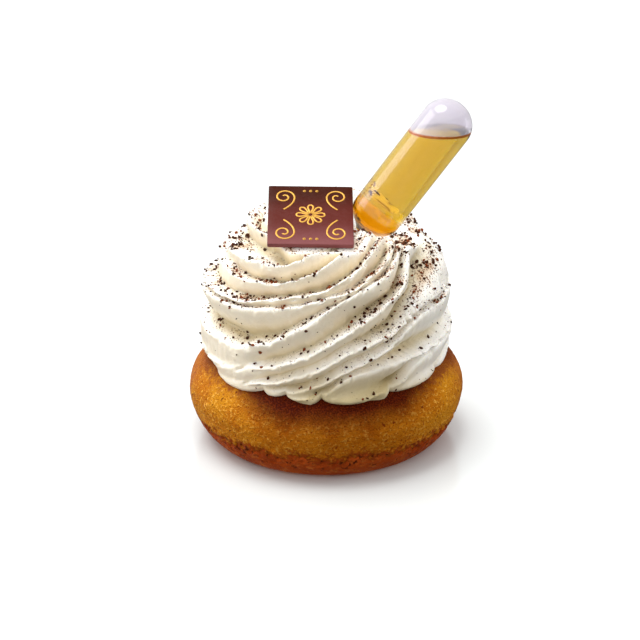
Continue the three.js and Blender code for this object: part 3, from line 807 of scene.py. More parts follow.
def pressed(points, matrix, limit, spring):
    """Points pushed softly along a frame's own -Z until they lie under a limit there.

    They spring back by a share of the push.
    """
    local = carried(points, matrix.inverted())
    over = ((local[..., 2] - limit(local)) / PRESS_SOFTNESS).clip(-PRESS_MOST, PRESS_MOST)
    local[..., 2] -= (1 - spring) * PRESS_SOFTNESS * np.log1p(np.exp(over))
    return carried(local, matrix)


def plaque_limit(local):
    """Underside of the plaque, rising with the distance outside it."""
    outside = (np.abs(local[..., :2]) - PLAQUE_SIDE / 2).clip(0)
    away = (np.hypot(outside[..., 0], outside[..., 1]) - PLAQUE_PRESS_MARGIN).clip(0)
    return PLAQUE_PRESS_SLOPE * away - PLAQUE_THICKNESS / 2 - CLEARANCE


def pipette_limit(local):
    """Seat of the pipette's shoulder, rising with the distance from the tube's axis."""
    away = (np.hypot(local[..., 0], local[..., 1]) - PIPETTE_PRESS_RADIUS).clip(0)
    return PIPETTE_PRESS_SLOPE * away - PIPETTE_PRESS_DEPTH


print("cream gives way", PIPETTE_PRESS_DEPTH, "mm below the tube's shoulder")

# %% [markdown]
# ### Rows of the cream
# The grid's rows run along the ridges, a few on each ledge and wall, and its columns stand closer together at
# the front, where the ridges climb. The rope's small marks are part of the mesh: soft swells, streaks along
# the rope, combing across the walls and crests that tore as the nozzle passed.

# %% Small marks of the rope
SWELLS = ((6.0, 0.25, 5), (2.2, 0.16, 6), (0.9, 0.11, 7))
STREAK_LENGTH, STREAK_WIDTH, STREAK_HEIGHT, STREAK_SEED = 5, 0.8, 0.12, 9
COMB_WIDTH, COMB_LENGTH, COMB_HEIGHT, COMB_SEED = 0.9, 5, 0.24, 15
TEAR_GRAIN, TEAR_DEPTH, TEAR_WIDTH, TEAR_START, TEAR_SEED = 1.2, 2.2, 1.4, 0.12, 11


def small_marks(bare, run, length, section, from_crest):
    """Depth of the small marks at points of the bare outline."""
    depth = sum(height * lumps(bare, grain, seed) for grain, height, seed in SWELLS)
    streaks = np.stack([run / STREAK_LENGTH, length / STREAK_WIDTH, 0 * run], axis=-1)
    depth = depth + STREAK_HEIGHT * lumps(streaks, 1, STREAK_SEED)
    combing = np.stack([run / COMB_WIDTH, length / COMB_LENGTH, 0 * run], axis=-1)
    depth = depth + COMB_HEIGHT * lumps(combing, 1, COMB_SEED) * section
    torn = (lumps(bare, TEAR_GRAIN, TEAR_SEED) - TEAR_START).clip(0)
    return depth + TEAR_DEPTH * torn * (1 - smooth_step(from_crest, 0, TEAR_WIDTH))


print("tears up to", TEAR_DEPTH, "mm deep and", TEAR_WIDTH, "mm from a crest")

# %% Rows between two crests
LEDGE_POWER, WALL_POWER = 1.2, 1.5
SUMMIT_SINK = 0.7
COIL_SHIFT, COIL_SHIFT_SPAN = 1.9, (23.5, 28)


def cream_rows(ridge, ledge_steps, wall_steps, azimuth):
    """Points between one ridge's crest and the next, with the depth of each under the outline."""
    lower, upper = crest_length(ridge, azimuth), crest_length(ridge + 1, azimuth)
    ledge = ledge_share(ridge, azimuth, upper - lower)
    share = np.concatenate([ledge_steps[:, None] * ledge, ledge + wall_steps[:, None] * (1 - ledge)])
    ledge_section = np.sin(math.pi / 2 * ledge_steps) ** LEDGE_POWER
    section = np.concatenate([ledge_section, (1 - wall_steps) ** WALL_POWER])[:, None]
    length = lower + (upper - lower) * share
    from_crest = np.minimum(length - lower, upper - length)
    radius = np.interp(length, outline_length, outline_radius)
    height = np.interp(length, outline_length, outline_height) + np.minimum(length, 0)
    cosine, sine = np.cos(np.radians(azimuth)), np.sin(np.radians(azimuth))
    bare = np.stack([radius * cosine, radius * sine, height], axis=-1)
    run = BELLY_RADIUS * np.radians(rope_angle(ridge, azimuth)) + 0 * length
    groove = np.minimum(groove_depth(ridge, azimuth, upper - lower) * section, SUMMIT_SINK * radius)
    sink = groove + small_marks(bare, run, length, section, from_crest)
    reach = radius - np.interp(length, outline_length, outward_radius) * sink
    height = height - np.interp(length, outline_length, outward_height) * sink
    near_edge = 1 - smooth_step(length, 0, EDGE_BLEND)
    reach = reach + (edge_radius(azimuth) - reach) * near_edge ** 2 + EDGE_TUCK * np.minimum(length, 0)
    height = height + (edge_height(azimuth) - SKIRT_Z) * near_edge
    shift = COIL_SHIFT * smooth_step(length, *COIL_SHIFT_SPAN)
    points = np.stack([reach * cosine + shift, reach * sine, height], axis=-1)
    points = pressed(points, plaque_frame, plaque_limit, 0)
    return pressed(points, pipette_frame, pipette_limit, PIPETTE_PRESS_SPRING), sink


print("coils above the belly stand", COIL_SHIFT, "mm to the right")

# %% Grid of the cream
SEAM_AZIMUTH = 90
FRONT_AZIMUTH, FRONT_BIAS = 285, 0.45
CREAM_COLUMNS = 430
LEDGE_ROWS, WALL_ROWS = 5, 7
ROWS_PER_TURN = RIDGES * (LEDGE_ROWS + WALL_ROWS)
LOWEST_RIDGE, HIGHEST_RIDGE = -4, 15


def column_azimuths():
    """Azimuths from the seam round to it, closer together where the ridges climb."""
    share = np.linspace(0, 1, CREAM_COLUMNS + 1)
    front_share = (FRONT_AZIMUTH - SEAM_AZIMUTH) / 360
    wave = np.sin(2 * math.pi * (share - front_share)) + math.sin(2 * math.pi * front_share)
    return SEAM_AZIMUTH + 360 * (share - FRONT_BIAS * wave / (2 * math.pi))


azimuths = column_azimuths()
ledge_steps = np.linspace(0, 1, LEDGE_ROWS, endpoint=False)
wall_steps = np.linspace(0, 1, WALL_ROWS, endpoint=False)
blocks = []
for ridge in range(LOWEST_RIDGE, HIGHEST_RIDGE):
    blocks.append(cream_rows(ridge, ledge_steps, wall_steps, azimuths))
blocks.append(cream_rows(HIGHEST_RIDGE, np.zeros(1), np.zeros(0), azimuths))
cream_grid = np.concatenate([points for points, sink in blocks])
cream_sink = np.concatenate([sink for points, sink in blocks])
print("cream grid", cream_grid.shape, "deepest groove", round(float(cream_sink.max()), 2))

# %% [markdown]
# ### One skin like a screw thread
# A row of the grid follows a ridge, so after one turn it meets the row that lies one turn of ridges higher.
# The last column is therefore joined to the first with that many rows of shift, and the two open rims are
# closed with one face each. The skin has no seam that shows.

# %% Skin of the cream
def cream_skin():
    """Which points of the grid the closed skin keeps, and its faces."""
    rows, columns = cream_grid.shape[0] - 1, CREAM_COLUMNS
    index = np.arange((rows + 1) * (columns + 1)).reshape(rows + 1, columns + 1)
    index[: rows + 1 - ROWS_PER_TURN, columns] = index[ROWS_PER_TURN:, 0]
    corners = [index[:-1, :-1], index[:-1, 1:], index[1:, 1:], index[1:, :-1]]
    quads = np.stack(corners, axis=-1).reshape(-1, 4)
    bottom = [*index[0, :], *index[ROWS_PER_TURN - 1 : 0 : -1, 0]]
    top = [*index[rows, :columns], *index[rows : rows - ROWS_PER_TURN : -1, columns]]
    used, packed = np.unique(quads, return_inverse=True)
    place = {int(old): new for new, old in enumerate(used)}
    faces = packed.reshape(-1, 4).tolist()
    faces.append([place[int(i)] for i in reversed(bottom)])
    faces.append([place[int(i)] for i in top])
    return used, faces


kept, cream_faces = cream_skin()
cream_points = cream_grid.reshape(-1, 3)[kept]
groove_share = (cream_sink.reshape(-1)[kept] / GROOVE_DEPTH).clip(0, 1)
print("cream skin", len(cream_points), "points")

# %% [markdown]
# ### Cream finish
# Whipped cream is a pale, soft, slightly shiny fat. Light goes a little way in, so its hollows glow warm
# instead of going grey; subsurface scattering does a little of that, and the rest is painted warm shade.
# Three values kept at each point steer the colour: painted warm shade on steep walls and in grooves, with
# less of it on the right, painted shade in the deep grooves and low on the front lobes, and powder where the
# finest chocolate dust lies, whose tan stain is also painted shade high on the right. A fine noise gives the
# satin that piping leaves. An image would have to be painted from every side.

# %% Cream finish
PALE_GRAIN, SATIN_GRAIN = 5.0, 0.5
SATIN_SPAN, SATIN_ROUGHNESS, MATT_ROUGHNESS, CREAM_BUMP = (0.3, 0.7), 0.36, 0.52, 0.08
POWDER_GRAIN, POWDER_SPAN = 0.45, (0.55, 0.75)
DUST_AND_SHADE_SPAN, DUST_AND_SHADE_SHARE = (0.7, 2.2), 0.75
CREAM_SOCKETS = {
    "Subsurface Weight": 0.2,
    "Subsurface Radius": (1.0, 0.85, 0.6),
    "Subsurface Scale": 0.4 * MM,
    "Specular IOR Level": 0.3,
}


def kept_value(material, name):
    """A value kept at the mesh's points."""
    return add_node(material, "Attribute", attribute_name=name).outputs["Fac"]


def cream_finish():
    material = new_finish("whipped_cream", CREAM_SOCKETS)
    place = place_in_mm(material)
    patches = blotches(material, place, PALE_GRAIN)
    satin = blotches(material, place, SATIN_GRAIN)
    powder = kept_value(material, "powder")
    tone = blend(material, patches, colour(251, 249, 244), colour(248, 245, 237))
    # Painted warm shade on walls that face down and in the grooves.
    tone = blend(material, kept_value(material, "painted_warm_shade"), tone, colour(248, 232, 202))
    # Painted shade in the deep grooves and low on the front lobes.
    tone = blend(material, kept_value(material, "painted_hollow_shade"), tone, colour(204, 187, 143))
    # A tan stain from the dust, which also stands for painted shade on the dusted ledges high on the right
    # beside the tube.
    tone = tint(material, tone, powder, DUST_AND_SHADE_SPAN, colour(196, 156, 112), DUST_AND_SHADE_SHARE)
    specks = ramp(material, blotches(material, place, POWDER_GRAIN, 0.0), *POWDER_SPAN)
    dusted = arithmetic(material, "MULTIPLY", specks, powder)
    feed_shader(material, "Base Color", blend(material, dusted, tone, colour(120, 78, 46)))
    feed_shader(material, "Roughness", ramp(material, satin, *SATIN_SPAN, SATIN_ROUGHNESS, MATT_ROUGHNESS))
    bump(material, total(material, patches, satin), CREAM_BUMP)
    return material


cream = new_piece("cream_swirl", cream_points, cream_faces, cream_finish())
settle(cream, "cream", "cream")

# %% Painted warm shade on the walls and painted shade in the hollows
SHADE_BELOW, PALE_ABOVE = -0.1, 0.8
SHADE_WARMTH, GROOVE_WARM_SHADE = 0.75, 0.5
COOL_LIGHT_SIDE, COOL_LIGHT_SHARE = (0.5, 0.85), 0.7
HOLLOW_SHADE, HOLLOW_SPAN = 0.75, (0.3, 0.8)
SKIRT_SHADE, SKIRT_SHADE_Z = 0.9, (22, 31)
SKIRT_SHADE_SIDE, SKIRT_SHADE_SPREAD = 0.15, (0.2, 0.7)


def keep_at_points(name, values):
    """Keeps a value at each point of the cream for its finish."""
    attribute = cream.data.attributes.new(name, "FLOAT", "POINT")
    attribute.data.foreach_set("value", values.astype(np.float32))


normals = np.empty(3 * len(cream_points))
cream.data.vertex_normals.foreach_get("vector", normals)
normals = normals.reshape(-1, 3)
to_the_right = cream_points[:, 0] / np.hypot(cream_points[:, 0], cream_points[:, 1]).clip(1)
# Painted warm shade where the cream faces down and in its grooves; less of it on the right, where the cool
# fill lights the cream.
in_shade = 1 - smooth_step(normals[:, 2], SHADE_BELOW, PALE_ABOVE)
cooled_by_right_light = 1 - COOL_LIGHT_SHARE * smooth_step(to_the_right, *COOL_LIGHT_SIDE)
painted_warm_shade = (SHADE_WARMTH * in_shade + GROOVE_WARM_SHADE * groove_share).clip(0, 1) * cooled_by_right_light
# Painted shade low on the front lobes, where the crests above shade them.
at_the_front = 1 - smooth_step(np.abs(to_the_right - SKIRT_SHADE_SIDE), *SKIRT_SHADE_SPREAD)
painted_skirt_shade = SKIRT_SHADE * (1 - smooth_step(cream_points[:, 2], *SKIRT_SHADE_Z)) * at_the_front
painted_hollow_shade = (HOLLOW_SHADE * smooth_step(groove_share, *HOLLOW_SPAN) + painted_skirt_shade).clip(0, 1)
keep_at_points("painted_warm_shade", painted_warm_shade)
keep_at_points("painted_hollow_shade", painted_hollow_shade)
print("mean warmth", round(float(painted_warm_shade.mean()), 2), "mean hollow", round(float(painted_hollow_shade.mean()), 2))

# %% [markdown]
# ## Grated chocolate
# The swirl was dusted from above after it was piped, so the crumbs lie where the cream faces up: on the
# ledges and round the top, thickest high on the right, with few on the walls. Each crumb is a little crooked
# lump. All crumbs of one colour are one mesh, made from arrays, because thousands of objects would be slow.
# What is finer than the smallest crumb goes to the cream's finish as powder.

# %% Where the dusting fell
STRAY_SHARE = 0.025
LOW_DUST, HIGH_DUST = 26, 44
LOW_DUST_SHARE, DUST_POWER = 0.2, 1.5
CLUMPING, CLUMP_GRAIN, CLUMP_SEED = 1.6, 3.5, 13
THICKEST, THICK_REACH, THICKENING = np.array((22, -16, 50)), 12, 1.5
THINNEST, THIN_REACH, THINNING = np.array((22, -20, 32)), 13, 0.75


def fallen_dust(points, facing_up):
    """How thickly the dusting fell at points: on what faces up, in clumps, and thickest high on the right."""
    clumps = 1 + CLUMPING * lumps(points, CLUMP_GRAIN, CLUMP_SEED)
    from_thick = np.linalg.norm(points - THICKEST, axis=1) / THICK_REACH
    from_thin = np.linalg.norm(points - THINNEST, axis=1) / THIN_REACH
    sides = (1 + THICKENING * np.exp(-(from_thick ** 2))) * (1 - THINNING * np.exp(-(from_thin ** 2)))
    high = LOW_DUST_SHARE + (1 - LOW_DUST_SHARE) * smooth_step(points[:, 2], LOW_DUST, HIGH_DUST)
    settled = STRAY_SHARE + facing_up.clip(0) ** DUST_POWER * high
    return settled * clumps.clip(0) * sides


powder = fallen_dust(cream_points, normals[:, 2])
keep_at_points("powder", powder)
print("thickest dusting", round(float(powder.max()), 2))

# %% Places for the crumbs
CRUMB_COUNT = 3600
CRUMB_SEED = 7
PLAQUE_COVER, PLAQUE_COVER_Z = 0.4, 1
TUBE_COVER_RADIUS, TUBE_COVER_Z = 7, -8
DUST_LOWEST_Z = SKIRT_Z + 1
LEAST_AREA = 1e-9

draw = np.random.default_rng(CRUMB_SEED)
corners = np.array(cream_faces[:-2])
first, second, third, fourth = (cream_points[corners[:, i]] for i in range(4))
crossed = np.cross(third - first, fourth - second)
area = np.linalg.norm(crossed, axis=1) / 2
facing = crossed / np.maximum(2 * area, LEAST_AREA)[:, None]
centre = (first + second + third + fourth) / 4


def in_the_open():
    """Faces that the dusting could reach: above the skirt, clear of the plaque and the tube."""
    on_plaque = carried(centre, plaque_frame.inverted())
    beside = np.abs(on_plaque[:, :2]).max(axis=1) - PLAQUE_SIDE / 2
    covered = (beside < PLAQUE_COVER) & (on_plaque[:, 2] < PLAQUE_COVER_Z)
    on_tube = carried(centre, pipette_frame.inverted())
    in_tube = (np.hypot(on_tube[:, 0], on_tube[:, 1]) < TUBE_COVER_RADIUS) & (on_tube[:, 2] > TUBE_COVER_Z)
    return ~covered & ~in_tube & (centre[:, 2] > DUST_LOWEST_Z)


chance = area * fallen_dust(centre, facing[:, 2]) * in_the_open()
chosen = draw.choice(len(chance), CRUMB_COUNT, p=chance / chance.sum())
print("crumbs placed:", len(chosen), "on", int((chance > 0).sum()), "faces")

# %% Shapes of the crumbs
CRUMB_SMALL, CRUMB_LARGE, CRUMB_SIZE_POWER = 0.12, 0.62, 3.2
CRUMB_SQUASH = (1, 0.75, 0.55)
CRUMB_CROOKED, CRUMB_PROUD = 0.35, 0.25
RED_SHARE = 0.25

seed_mesh = bmesh.new()
bmesh.ops.create_icosphere(seed_mesh, subdivisions=1, radius=1)
lump_points = np.array([vertex.co[:] for vertex in seed_mesh.verts])
lump_faces = np.array([[vertex.index for vertex in face.verts] for face in seed_mesh.faces])
seed_mesh.free()

sizes = CRUMB_SMALL + (CRUMB_LARGE - CRUMB_SMALL) * draw.random(CRUMB_COUNT) ** CRUMB_SIZE_POWER
crooked = 1 + CRUMB_CROOKED * draw.uniform(-1, 1, (CRUMB_COUNT, len(lump_points), 1))
turns = np.linalg.qr(draw.normal(size=(CRUMB_COUNT, 3, 3)))[0]
shapes = lump_points * CRUMB_SQUASH * crooked * sizes[:, None, None]
crumb_points = np.einsum("nij,nkj->nki", turns, shapes)
across, along = draw.random((2, CRUMB_COUNT, 1))
low_side = first[chosen] * (1 - across) + second[chosen] * across
high_side = fourth[chosen] * (1 - across) + third[chosen] * across
seats = low_side * (1 - along) + high_side * along + facing[chosen] * (CRUMB_PROUD * sizes)[:, None]
crumb_points = crumb_points + seats[:, None, :]
is_red = draw.random(CRUMB_COUNT) < RED_SHARE
print("crumbs of", sizes.min().round(2), "to", sizes.max().round(2), "mm,", is_red.sum(), "of them red")

# %% Crumb pieces
CRUMB_SOCKETS = {"Roughness": 0.6, "Specular IOR Level": 0.05}
CRUMB_TONE_GRAIN, CRUMB_BUMP_GRAIN, CRUMB_ROUGH_HEIGHT = 0.4, 0.15, 0.05


def crumb_colour(name, light, dark):
    material = new_finish(name, CRUMB_SOCKETS)
    place = place_in_mm(material)
    tone = blend(material, blotches(material, place, CRUMB_TONE_GRAIN), dark, light)
    feed_shader(material, "Base Color", tone)
    bump(material, blotches(material, place, CRUMB_BUMP_GRAIN), CRUMB_ROUGH_HEIGHT)
    return material


def crumb_piece(name, picked, material):
    """All crumbs of one colour as one mesh."""
    points = crumb_points[picked]
    offsets = len(lump_points) * np.arange(len(points))
    faces = (lump_faces[None] + offsets[:, None, None]).reshape(-1, 3).tolist()
    piece = new_piece(name, points, faces, material)
    piece.data.polygons.foreach_set("use_smooth", [False] * len(faces))
    return piece


dark_finish = crumb_colour("dark_crumb", colour(84, 48, 30), colour(44, 24, 14))
red_finish = crumb_colour("red_crumb", colour(146, 76, 42), colour(98, 46, 26))
dark_crumbs = crumb_piece("crumbs_dark", ~is_red, dark_finish)
red_crumbs = crumb_piece("crumbs_red", is_red, red_finish)
settle(dark_crumbs, "chocolate")
settle(red_crumbs, "chocolate")

# %% [markdown]
# ## The plaque
# A thin square of tempered dark chocolate, cast on a flat sheet, so its face is glossy and its edges are cut
# nearly square. Rings of points from the back round to the face give it a rounded rim that catches the light,
# which an extruded square would lack. Low on the face a lighter mauve sheen is painted into the colour, a
# painted reflection of the lamps, and its upper part is painted darker.

# %% Plaque mesh
PLAQUE_CORNER, LEAST_CORNER = 0.4, 0.1
PLAQUE_RIM, RIM_STEPS = 0.18, 5
CORNER_STEPS = 6
BACK_MARGIN = 2


def square_ring(half, corner):
    """Points round a square with round corners."""
    ring = []
    for quarter in range(4):
        middle = math.pi / 4 + quarter * math.pi / 2
        cx, cy = (half - corner) * np.sign([math.cos(middle), math.sin(middle)])
        for angle in np.linspace(-math.pi / 4, math.pi / 4, CORNER_STEPS) + middle:
            ring.append((cx + corner * math.cos(angle), cy + corner * math.sin(angle)))
    return np.array(ring)


def plaque_rings():
    """Rings from the back to the face, with a rounded rim."""
    half, top = PLAQUE_SIDE / 2, PLAQUE_THICKNESS / 2
    rings = [(half - BACK_MARGIN, -top), (half - PLAQUE_RIM, -top)]
    for angle in np.linspace(-math.pi / 2, 0, RIM_STEPS)[1:]:
        reach = half - PLAQUE_RIM * (1 - math.cos(angle))
        rings.append((reach, -top + PLAQUE_RIM * (1 + math.sin(angle))))
    mirrored = [(reach, -height) for reach, height in reversed(rings)]
    layers = []
    for reach, height in rings + mirrored:
        ring = square_ring(reach, max(PLAQUE_CORNER - (half - reach), LEAST_CORNER))
        layers.append(np.column_stack([ring, np.full(len(ring), height)]))
    return np.array(layers)


plaque_layers = plaque_rings()
print("plaque of", plaque_layers.shape[0], "rings with", plaque_layers.shape[1], "points each")

# %% Chocolate finish
SHEEN_LOW_Z, SHEENLESS_TOP_Z = (55.5, 59.5), (60, 63.5)
CLOUD_GRAIN, GLOSS_GRAIN = 6.0, 1.5
GLOSS_SPAN, GLOSSY_ROUGHNESS, DIM_ROUGHNESS = (0.3, 0.7), 0.2, 0.34
CHOCOLATE_GLOSS, CHOCOLATE_BUMP = 0.05, 0.1


def chocolate_finish():
    material = new_finish("dark_chocolate", {"Specular IOR Level": CHOCOLATE_GLOSS})
    place = place_in_mm(material)
    height = add_node(material, "SeparateXYZ", {0: place}).outputs["Z"]
    cloud = blotches(material, place, CLOUD_GRAIN)
    tone = blend(material, cloud, colour(84, 30, 20), colour(94, 38, 32))
    # Painted sheen: the face is lighter and mauve low down and darker at the top, as if it reflected the
    # lamps.
    tone = tint(material, tone, height, SHEENLESS_TOP_Z, colour(60, 18, 3))
    feed_shader(material, "Base Color", tint(material, colour(122, 70, 70), height, SHEEN_LOW_Z, tone))
    gloss = blotches(material, place, GLOSS_GRAIN)
    feed_shader(material, "Roughness", ramp(material, gloss, *GLOSS_SPAN, GLOSSY_ROUGHNESS, DIM_ROUGHNESS))
    bump(material, cloud, CHOCOLATE_BUMP)
    return material


plaque_points = carried(plaque_layers, plaque_frame)
plaque = new_piece("plaque_square", plaque_points, capped_faces(*plaque_layers.shape[:2]), chocolate_finish())
settle(plaque, "chocolate", "plaque")

# %% [markdown]
# ### Gold print
# The plaque's face carries a thin print in gold. Here it is a plain ornament: scrolls that curl into the
# corners, a rosette of petals and rows of dots. Each stroke is a low ribbon of mesh on the face, so it keeps
# its sharp edge from any side, which a painted texture would lose close up.

# %% Strokes of the ornament
ROSETTE_PETALS, PETAL_STEPS = 8, 40
ROSETTE_RADIUS, ROSETTE_PETAL_WIDTH = 3.4, 0.95
PETAL_MIDDLE, PETAL_SWING, PETAL_FULL, PETAL_TAPER = 0.58, 0.42, 0.55, 0.45
SCROLL_TURNS, SCROLL_STEPS = 1.35, 70
SCROLL_OUTER, SCROLL_INNER = 2.5, 0.45
SCROLL_X, SCROLL_Y = 6.4, 6.2
TAIL_REACH, TAIL_BEND, TAIL_DROP, TAIL_STEPS = 2.6, 2.2, 4.4, 24
DOT_RING, DOT_STEPS = 0.17, 17
DOT_SPACING, DOT_ROW_Y = 1.5, 8.4


def petal(angle):
    """A closed drop that points away from the middle."""
    turn = np.linspace(0, 2 * math.pi, PETAL_STEPS)
    along = ROSETTE_RADIUS * (PETAL_MIDDLE - PETAL_SWING * np.cos(turn))
    across = ROSETTE_PETAL_WIDTH * np.sin(turn) * (PETAL_FULL - PETAL_TAPER * np.cos(turn))
    x = along * math.cos(angle) - across * math.sin(angle)
    y = along * math.sin(angle) + across * math.cos(angle)
    return np.column_stack([x, y])


def scroll(flip_x, flip_y):
    """A curl in a corner with a tail along the side."""
    turn = np.linspace(0, 1, SCROLL_STEPS)
    reach = SCROLL_INNER + (SCROLL_OUTER - SCROLL_INNER) * turn
    angle = math.pi + 2 * math.pi * SCROLL_TURNS * (turn - 1)
    curl = np.column_stack([SCROLL_X + reach * np.cos(angle), SCROLL_Y + reach * np.sin(angle)])
    drop = np.linspace(0, 1, TAIL_STEPS)[1:]
    tail = np.column_stack([curl[-1, 0] + TAIL_REACH * drop ** TAIL_BEND, curl[-1, 1] - TAIL_DROP * drop])
    return np.concatenate([curl, tail]) * (flip_x, flip_y)


def dot(x, y):
    """A ring so small that its ribbon fills it."""
    turn = np.linspace(0, 2 * math.pi, DOT_STEPS)
    return np.column_stack([x + DOT_RING * np.cos(turn), y + DOT_RING * np.sin(turn)])


strokes = [petal(2 * math.pi * i / ROSETTE_PETALS) for i in range(ROSETTE_PETALS)]
strokes += [scroll(flip_x, flip_y) for flip_x in (-1, 1) for flip_y in (-1, 1)]
strokes += [dot(step * DOT_SPACING, side * DOT_ROW_Y) for step in range(-1, 2) for side in (-1, 1)]
print("ornament of", len(strokes), "strokes")

# %% Ribbons of the ornament
STROKE_WIDTH = 0.42
PRINT_HEIGHT, PRINT_ROOT = 0.03, 0.02
GOLD_SOCKETS, GOLD_GRAIN = {"Metallic": 0.35, "Roughness": 0.38}, 0.8
LEAST_LENGTH = 1e-9


def ribbon(stroke):
    """Four rows of points: a low flat ribbon along a stroke."""
    ahead = np.gradient(stroke, axis=0)
    ahead = ahead / np.linalg.norm(ahead, axis=1, keepdims=True).clip(LEAST_LENGTH)
    aside = np.column_stack([-ahead[:, 1], ahead[:, 0]]) * STROKE_WIDTH / 2
    low = np.full((len(stroke), 1), PLAQUE_THICKNESS / 2 - PRINT_ROOT)
    high = low + PRINT_ROOT + PRINT_HEIGHT
    left, right = stroke + aside, stroke - aside
    return np.stack([np.hstack(row) for row in ((left, low), (left, high), (right, high), (right, low))])


def ornament():
    """All ribbons as points and faces."""
    points, faces = [], []
    for stroke in strokes:
        rows = ribbon(stroke)
        start, count = sum(len(block) for block in points), len(stroke)
        points.append(rows.reshape(-1, 3))
        for side in range(4):
            for step in range(count - 1):
                a, b = start + side * count + step, start + (side + 1) % 4 * count + step
                faces.append((a, a + 1, b + 1, b))
        for end in (0, count - 1):
            cap = [start + side * count + end for side in range(4)]
            faces.append(cap if end == 0 else cap[::-1])
    return np.concatenate(points), faces


def gold_finish():
    material = new_finish("gold_print", GOLD_SOCKETS)
    worn = blotches(material, place_in_mm(material), GOLD_GRAIN)
    feed_shader(material, "Base Color", blend(material, worn, colour(222, 168, 62), colour(198, 142, 40)))
    return material


ornament_points, ornament_faces = ornament()
gold = new_piece("plaque_ornament", carried(ornament_points, plaque_frame), ornament_faces, gold_finish())
settle(gold, "chocolate")

# %% [markdown]
# ## The pipette
# A little squeeze tube of clear plastic, blown with a round end and a shoulder, and pushed nozzle first into
# the cream. It is turned from one outline with a real wall: light bends at both faces of the wall, and a tube
# without thickness would look like tinted film. The plastic looks clear where rum wets it, misty in the empty
# round end and yellow at the shoulder, so the mesh is split at those borders and takes three finishes.

# %% Outline of the tube
TUBE_RADIUS, TUBE_LENGTH, TUBE_WALL = 6.36, 27.7, 0.55
TUBE_DOME_SHARE, DOME_START = 0.93, 0.02
SHOULDER_LENGTH, SHOULDER_POWER = 6.6, 1.5
NOZZLE_RADIUS, NOZZLE_TIP_RADIUS, NOZZLE_BORE, NOZZLE_LENGTH = 2.1, 1.5, 0.8, 15
NOZZLE_TIP_Z = -SHOULDER_LENGTH - NOZZLE_LENGTH
TUBE_COLUMNS, TUBE_STEPS = 96, 28


def tube_outline(offset, nozzle_radius):
    """Radius and height from the round end down to the nozzle, outside or inside the wall."""
    radius = TUBE_RADIUS + offset
    angle = np.linspace(DOME_START, math.pi / 2, TUBE_STEPS)
    share = np.linspace(0, 1, TUBE_STEPS)
    reach = 0.5 + 0.5 * np.cos(math.pi * share ** SHOULDER_POWER)
    side = np.linspace(TUBE_LENGTH, 0, TUBE_STEPS)[1:-1]
    shoulder = nozzle_radius + (radius - nozzle_radius) * reach
    dome = TUBE_LENGTH + TUBE_DOME_SHARE * radius * np.cos(angle)
    radii = np.concatenate([radius * np.sin(angle), np.full(len(side), radius), shoulder])
    return radii, np.concatenate([dome, side, -SHOULDER_LENGTH * share])


def shell_rows():
    """The whole wall in section: down the outside, across the nozzle's tip and up the inside."""
    outer_r, outer_z = tube_outline(0, NOZZLE_RADIUS)
    inner_r, inner_z = tube_outline(-TUBE_WALL, NOZZLE_RADIUS - TUBE_WALL)
    radius = np.concatenate([outer_r, [NOZZLE_TIP_RADIUS, NOZZLE_BORE], inner_r[::-1]])
    height = np.concatenate([outer_z, [NOZZLE_TIP_Z, NOZZLE_TIP_Z], inner_z[::-1]])
    return radius, height


def in_the_tube(radius, height):
    """Turned rows of points in the pipette's frame, run backwards round it so that faces point out."""
    return carried(turned_points(radius, height, TUBE_COLUMNS)[:, ::-1], pipette_frame)


shell_points = in_the_tube(*shell_rows())
print("tube wall of", len(shell_points), "rows, nozzle tip at", NOZZLE_TIP_Z, "mm")

# %% Pipette
RUM_LEVEL_Z = 80.1
PLASTIC_IOR = 1.46
WAVER_GRAIN, WAVER_HEIGHT, WAVER_STRENGTH = 4.0, 0.05, 0.4
UPWARDS = Vector((0, 0, 1))


def clear_finish(name, tone, sheen, roughness, clearness):
    """Clear plastic whose face wavers a little."""
    sockets = {
        "Base Color": tone,
        "Specular Tint": sheen,
        "Roughness": roughness,
        "IOR": PLASTIC_IOR,
        "Transmission Weight": clearness,
    }
    material = new_finish(name, sockets)
    bump(material, blotches(material, place_in_mm(material), WAVER_GRAIN), WAVER_HEIGHT, WAVER_STRENGTH)
    return material


def everything(work):
    """All parts of a mesh at work, as a cut takes them."""
    return work.verts[:] + work.edges[:] + work.faces[:]


def finish_beyond(piece, place, direction, material):
    """Split a piece by a plane and give what lies beyond it another finish."""
    piece.data.materials.append(material)
    work = bmesh.new()
    work.from_mesh(piece.data)
    bmesh.ops.bisect_plane(work, geom=everything(work), plane_co=place * MM, plane_no=direction)
    for face in work.faces:
        if (face.calc_center_median() - place * MM).dot(direction) > 0:
            face.material_index = len(piece.data.materials) - 1
    work.to_mesh(piece.data)
    work.free()


wetted = clear_finish("clear_plastic", colour(246, 244, 247), colour(150, 160, 205), 0.03, 1.0)
misted = clear_finish("misted_plastic", colour(226, 221, 230), colour(255, 255, 255), 0.1, 0.72)
steeped = clear_finish("steeped_plastic", colour(248, 246, 90), colour(80, 60, 30), 0.05, 1.0)
shell = new_piece("pipette_shell", shell_points, capped_faces(*shell_points.shape[:2]), wetted)
finish_beyond(shell, RUM_LEVEL_Z * UPWARDS, UPWARDS, misted)
finish_beyond(shell, PIPETTE_BASE, -pipette_axis, steeped)
shell.visible_shadow = False
shell.visible_diffuse = False
settle(shell, "clear_plastic", "pipette")

# %% [markdown]
# ## The rum
# The tube is nearly full of amber rum, and the rum stays level while the tube leans. Its side reaches a hair
# into the wall, so that no film of air shows between drink and plastic. The turned filling is cut off at the
# level. A drink climbs a little at the wall and looks dark there edge on, so a narrow band round the top of
# its side has a finish of its own.

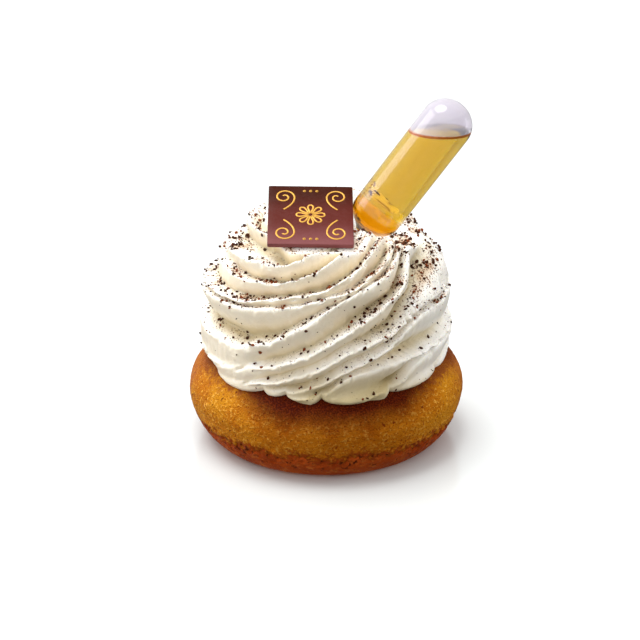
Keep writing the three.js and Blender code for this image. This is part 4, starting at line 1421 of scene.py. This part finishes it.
# %% Rum finishes
RUM_COLOUR, RUM_DENSITY = (0.94, 0.855, 0, 1), 540
RUM_SOCKETS = {"Roughness": 0.0, "IOR": 1.36, "Transmission Weight": 1.0}
SHOULDER_SHADE = 0.5
MENISCUS_SOCKETS, MENISCUS_GRAIN = {"Roughness": 0.3, "Specular IOR Level": 0.2}, 4.0


def rum_finish():
    """Clear rum that is coloured by its depth, and orange in the shoulder, where it is shallow."""
    material = new_finish("amber_rum", RUM_SOCKETS)
    start = PIPETTE_BASE.dot(pipette_axis)
    inputs = {0: place_in_mm(material), 1: pipette_axis}
    along = add_node(material, "VectorMath", inputs, operation="DOT_PRODUCT").outputs["Value"]
    shoulder_end = (start - SHOULDER_SHADE, start + SHOULDER_SHADE)
    tone = tint(material, colour(255, 198, 0), along, shoulder_end, (1, 1, 1, 1))
    feed_shader(material, "Base Color", tone)
    depth = add_node(material, "VolumeAbsorption", {"Color": RUM_COLOUR, "Density": RUM_DENSITY})
    output = material.node_tree.nodes["Material Output"]
    material.node_tree.links.new(depth.outputs["Volume"], output.inputs["Volume"])
    return material


def meniscus_finish():
    """The dark line where the rum climbs the wall and is looked at edge on."""
    material = new_finish("rum_meniscus", MENISCUS_SOCKETS)
    patches = blotches(material, place_in_mm(material), MENISCUS_GRAIN)
    feed_shader(material, "Base Color", blend(material, patches, colour(150, 76, 8), colour(180, 104, 16)))
    return material


print("rum swallows light at", RUM_DENSITY, "a metre")

# %% Rum mesh
RUM_REACH = 0.06
MENISCUS_HEIGHT = 0.65


def rum_filling():
    """The filling below its level, with a dark line round the top of its side."""
    points = in_the_tube(*tube_outline(RUM_REACH - TUBE_WALL, NOZZLE_RADIUS - TUBE_WALL))
    piece = new_piece("rum_filling", points, capped_faces(*points.shape[:2]), rum_finish())
    piece.data.materials.append(meniscus_finish())
    work = bmesh.new()
    work.from_mesh(piece.data)
    level = RUM_LEVEL_Z * MM * UPWARDS
    line = (RUM_LEVEL_Z - MENISCUS_HEIGHT) * MM * UPWARDS
    cut = bmesh.ops.bisect_plane(
        work, geom=everything(work), plane_co=level, plane_no=UPWARDS, clear_outer=True
    )
    rim = [item for item in cut["geom_cut"] if isinstance(item, bmesh.types.BMEdge)]
    surface = bmesh.ops.contextual_create(work, geom=rim)["faces"]
    bmesh.ops.bisect_plane(work, geom=everything(work), plane_co=line, plane_no=UPWARDS)
    for face in work.faces:
        face.material_index = int(face.calc_center_median().z > line.z and face not in surface)
    work.to_mesh(piece.data)
    work.free()
    return piece


rum = rum_filling()
rum.visible_shadow = False
rum.visible_diffuse = False
settle(rum, "rum", "rum")
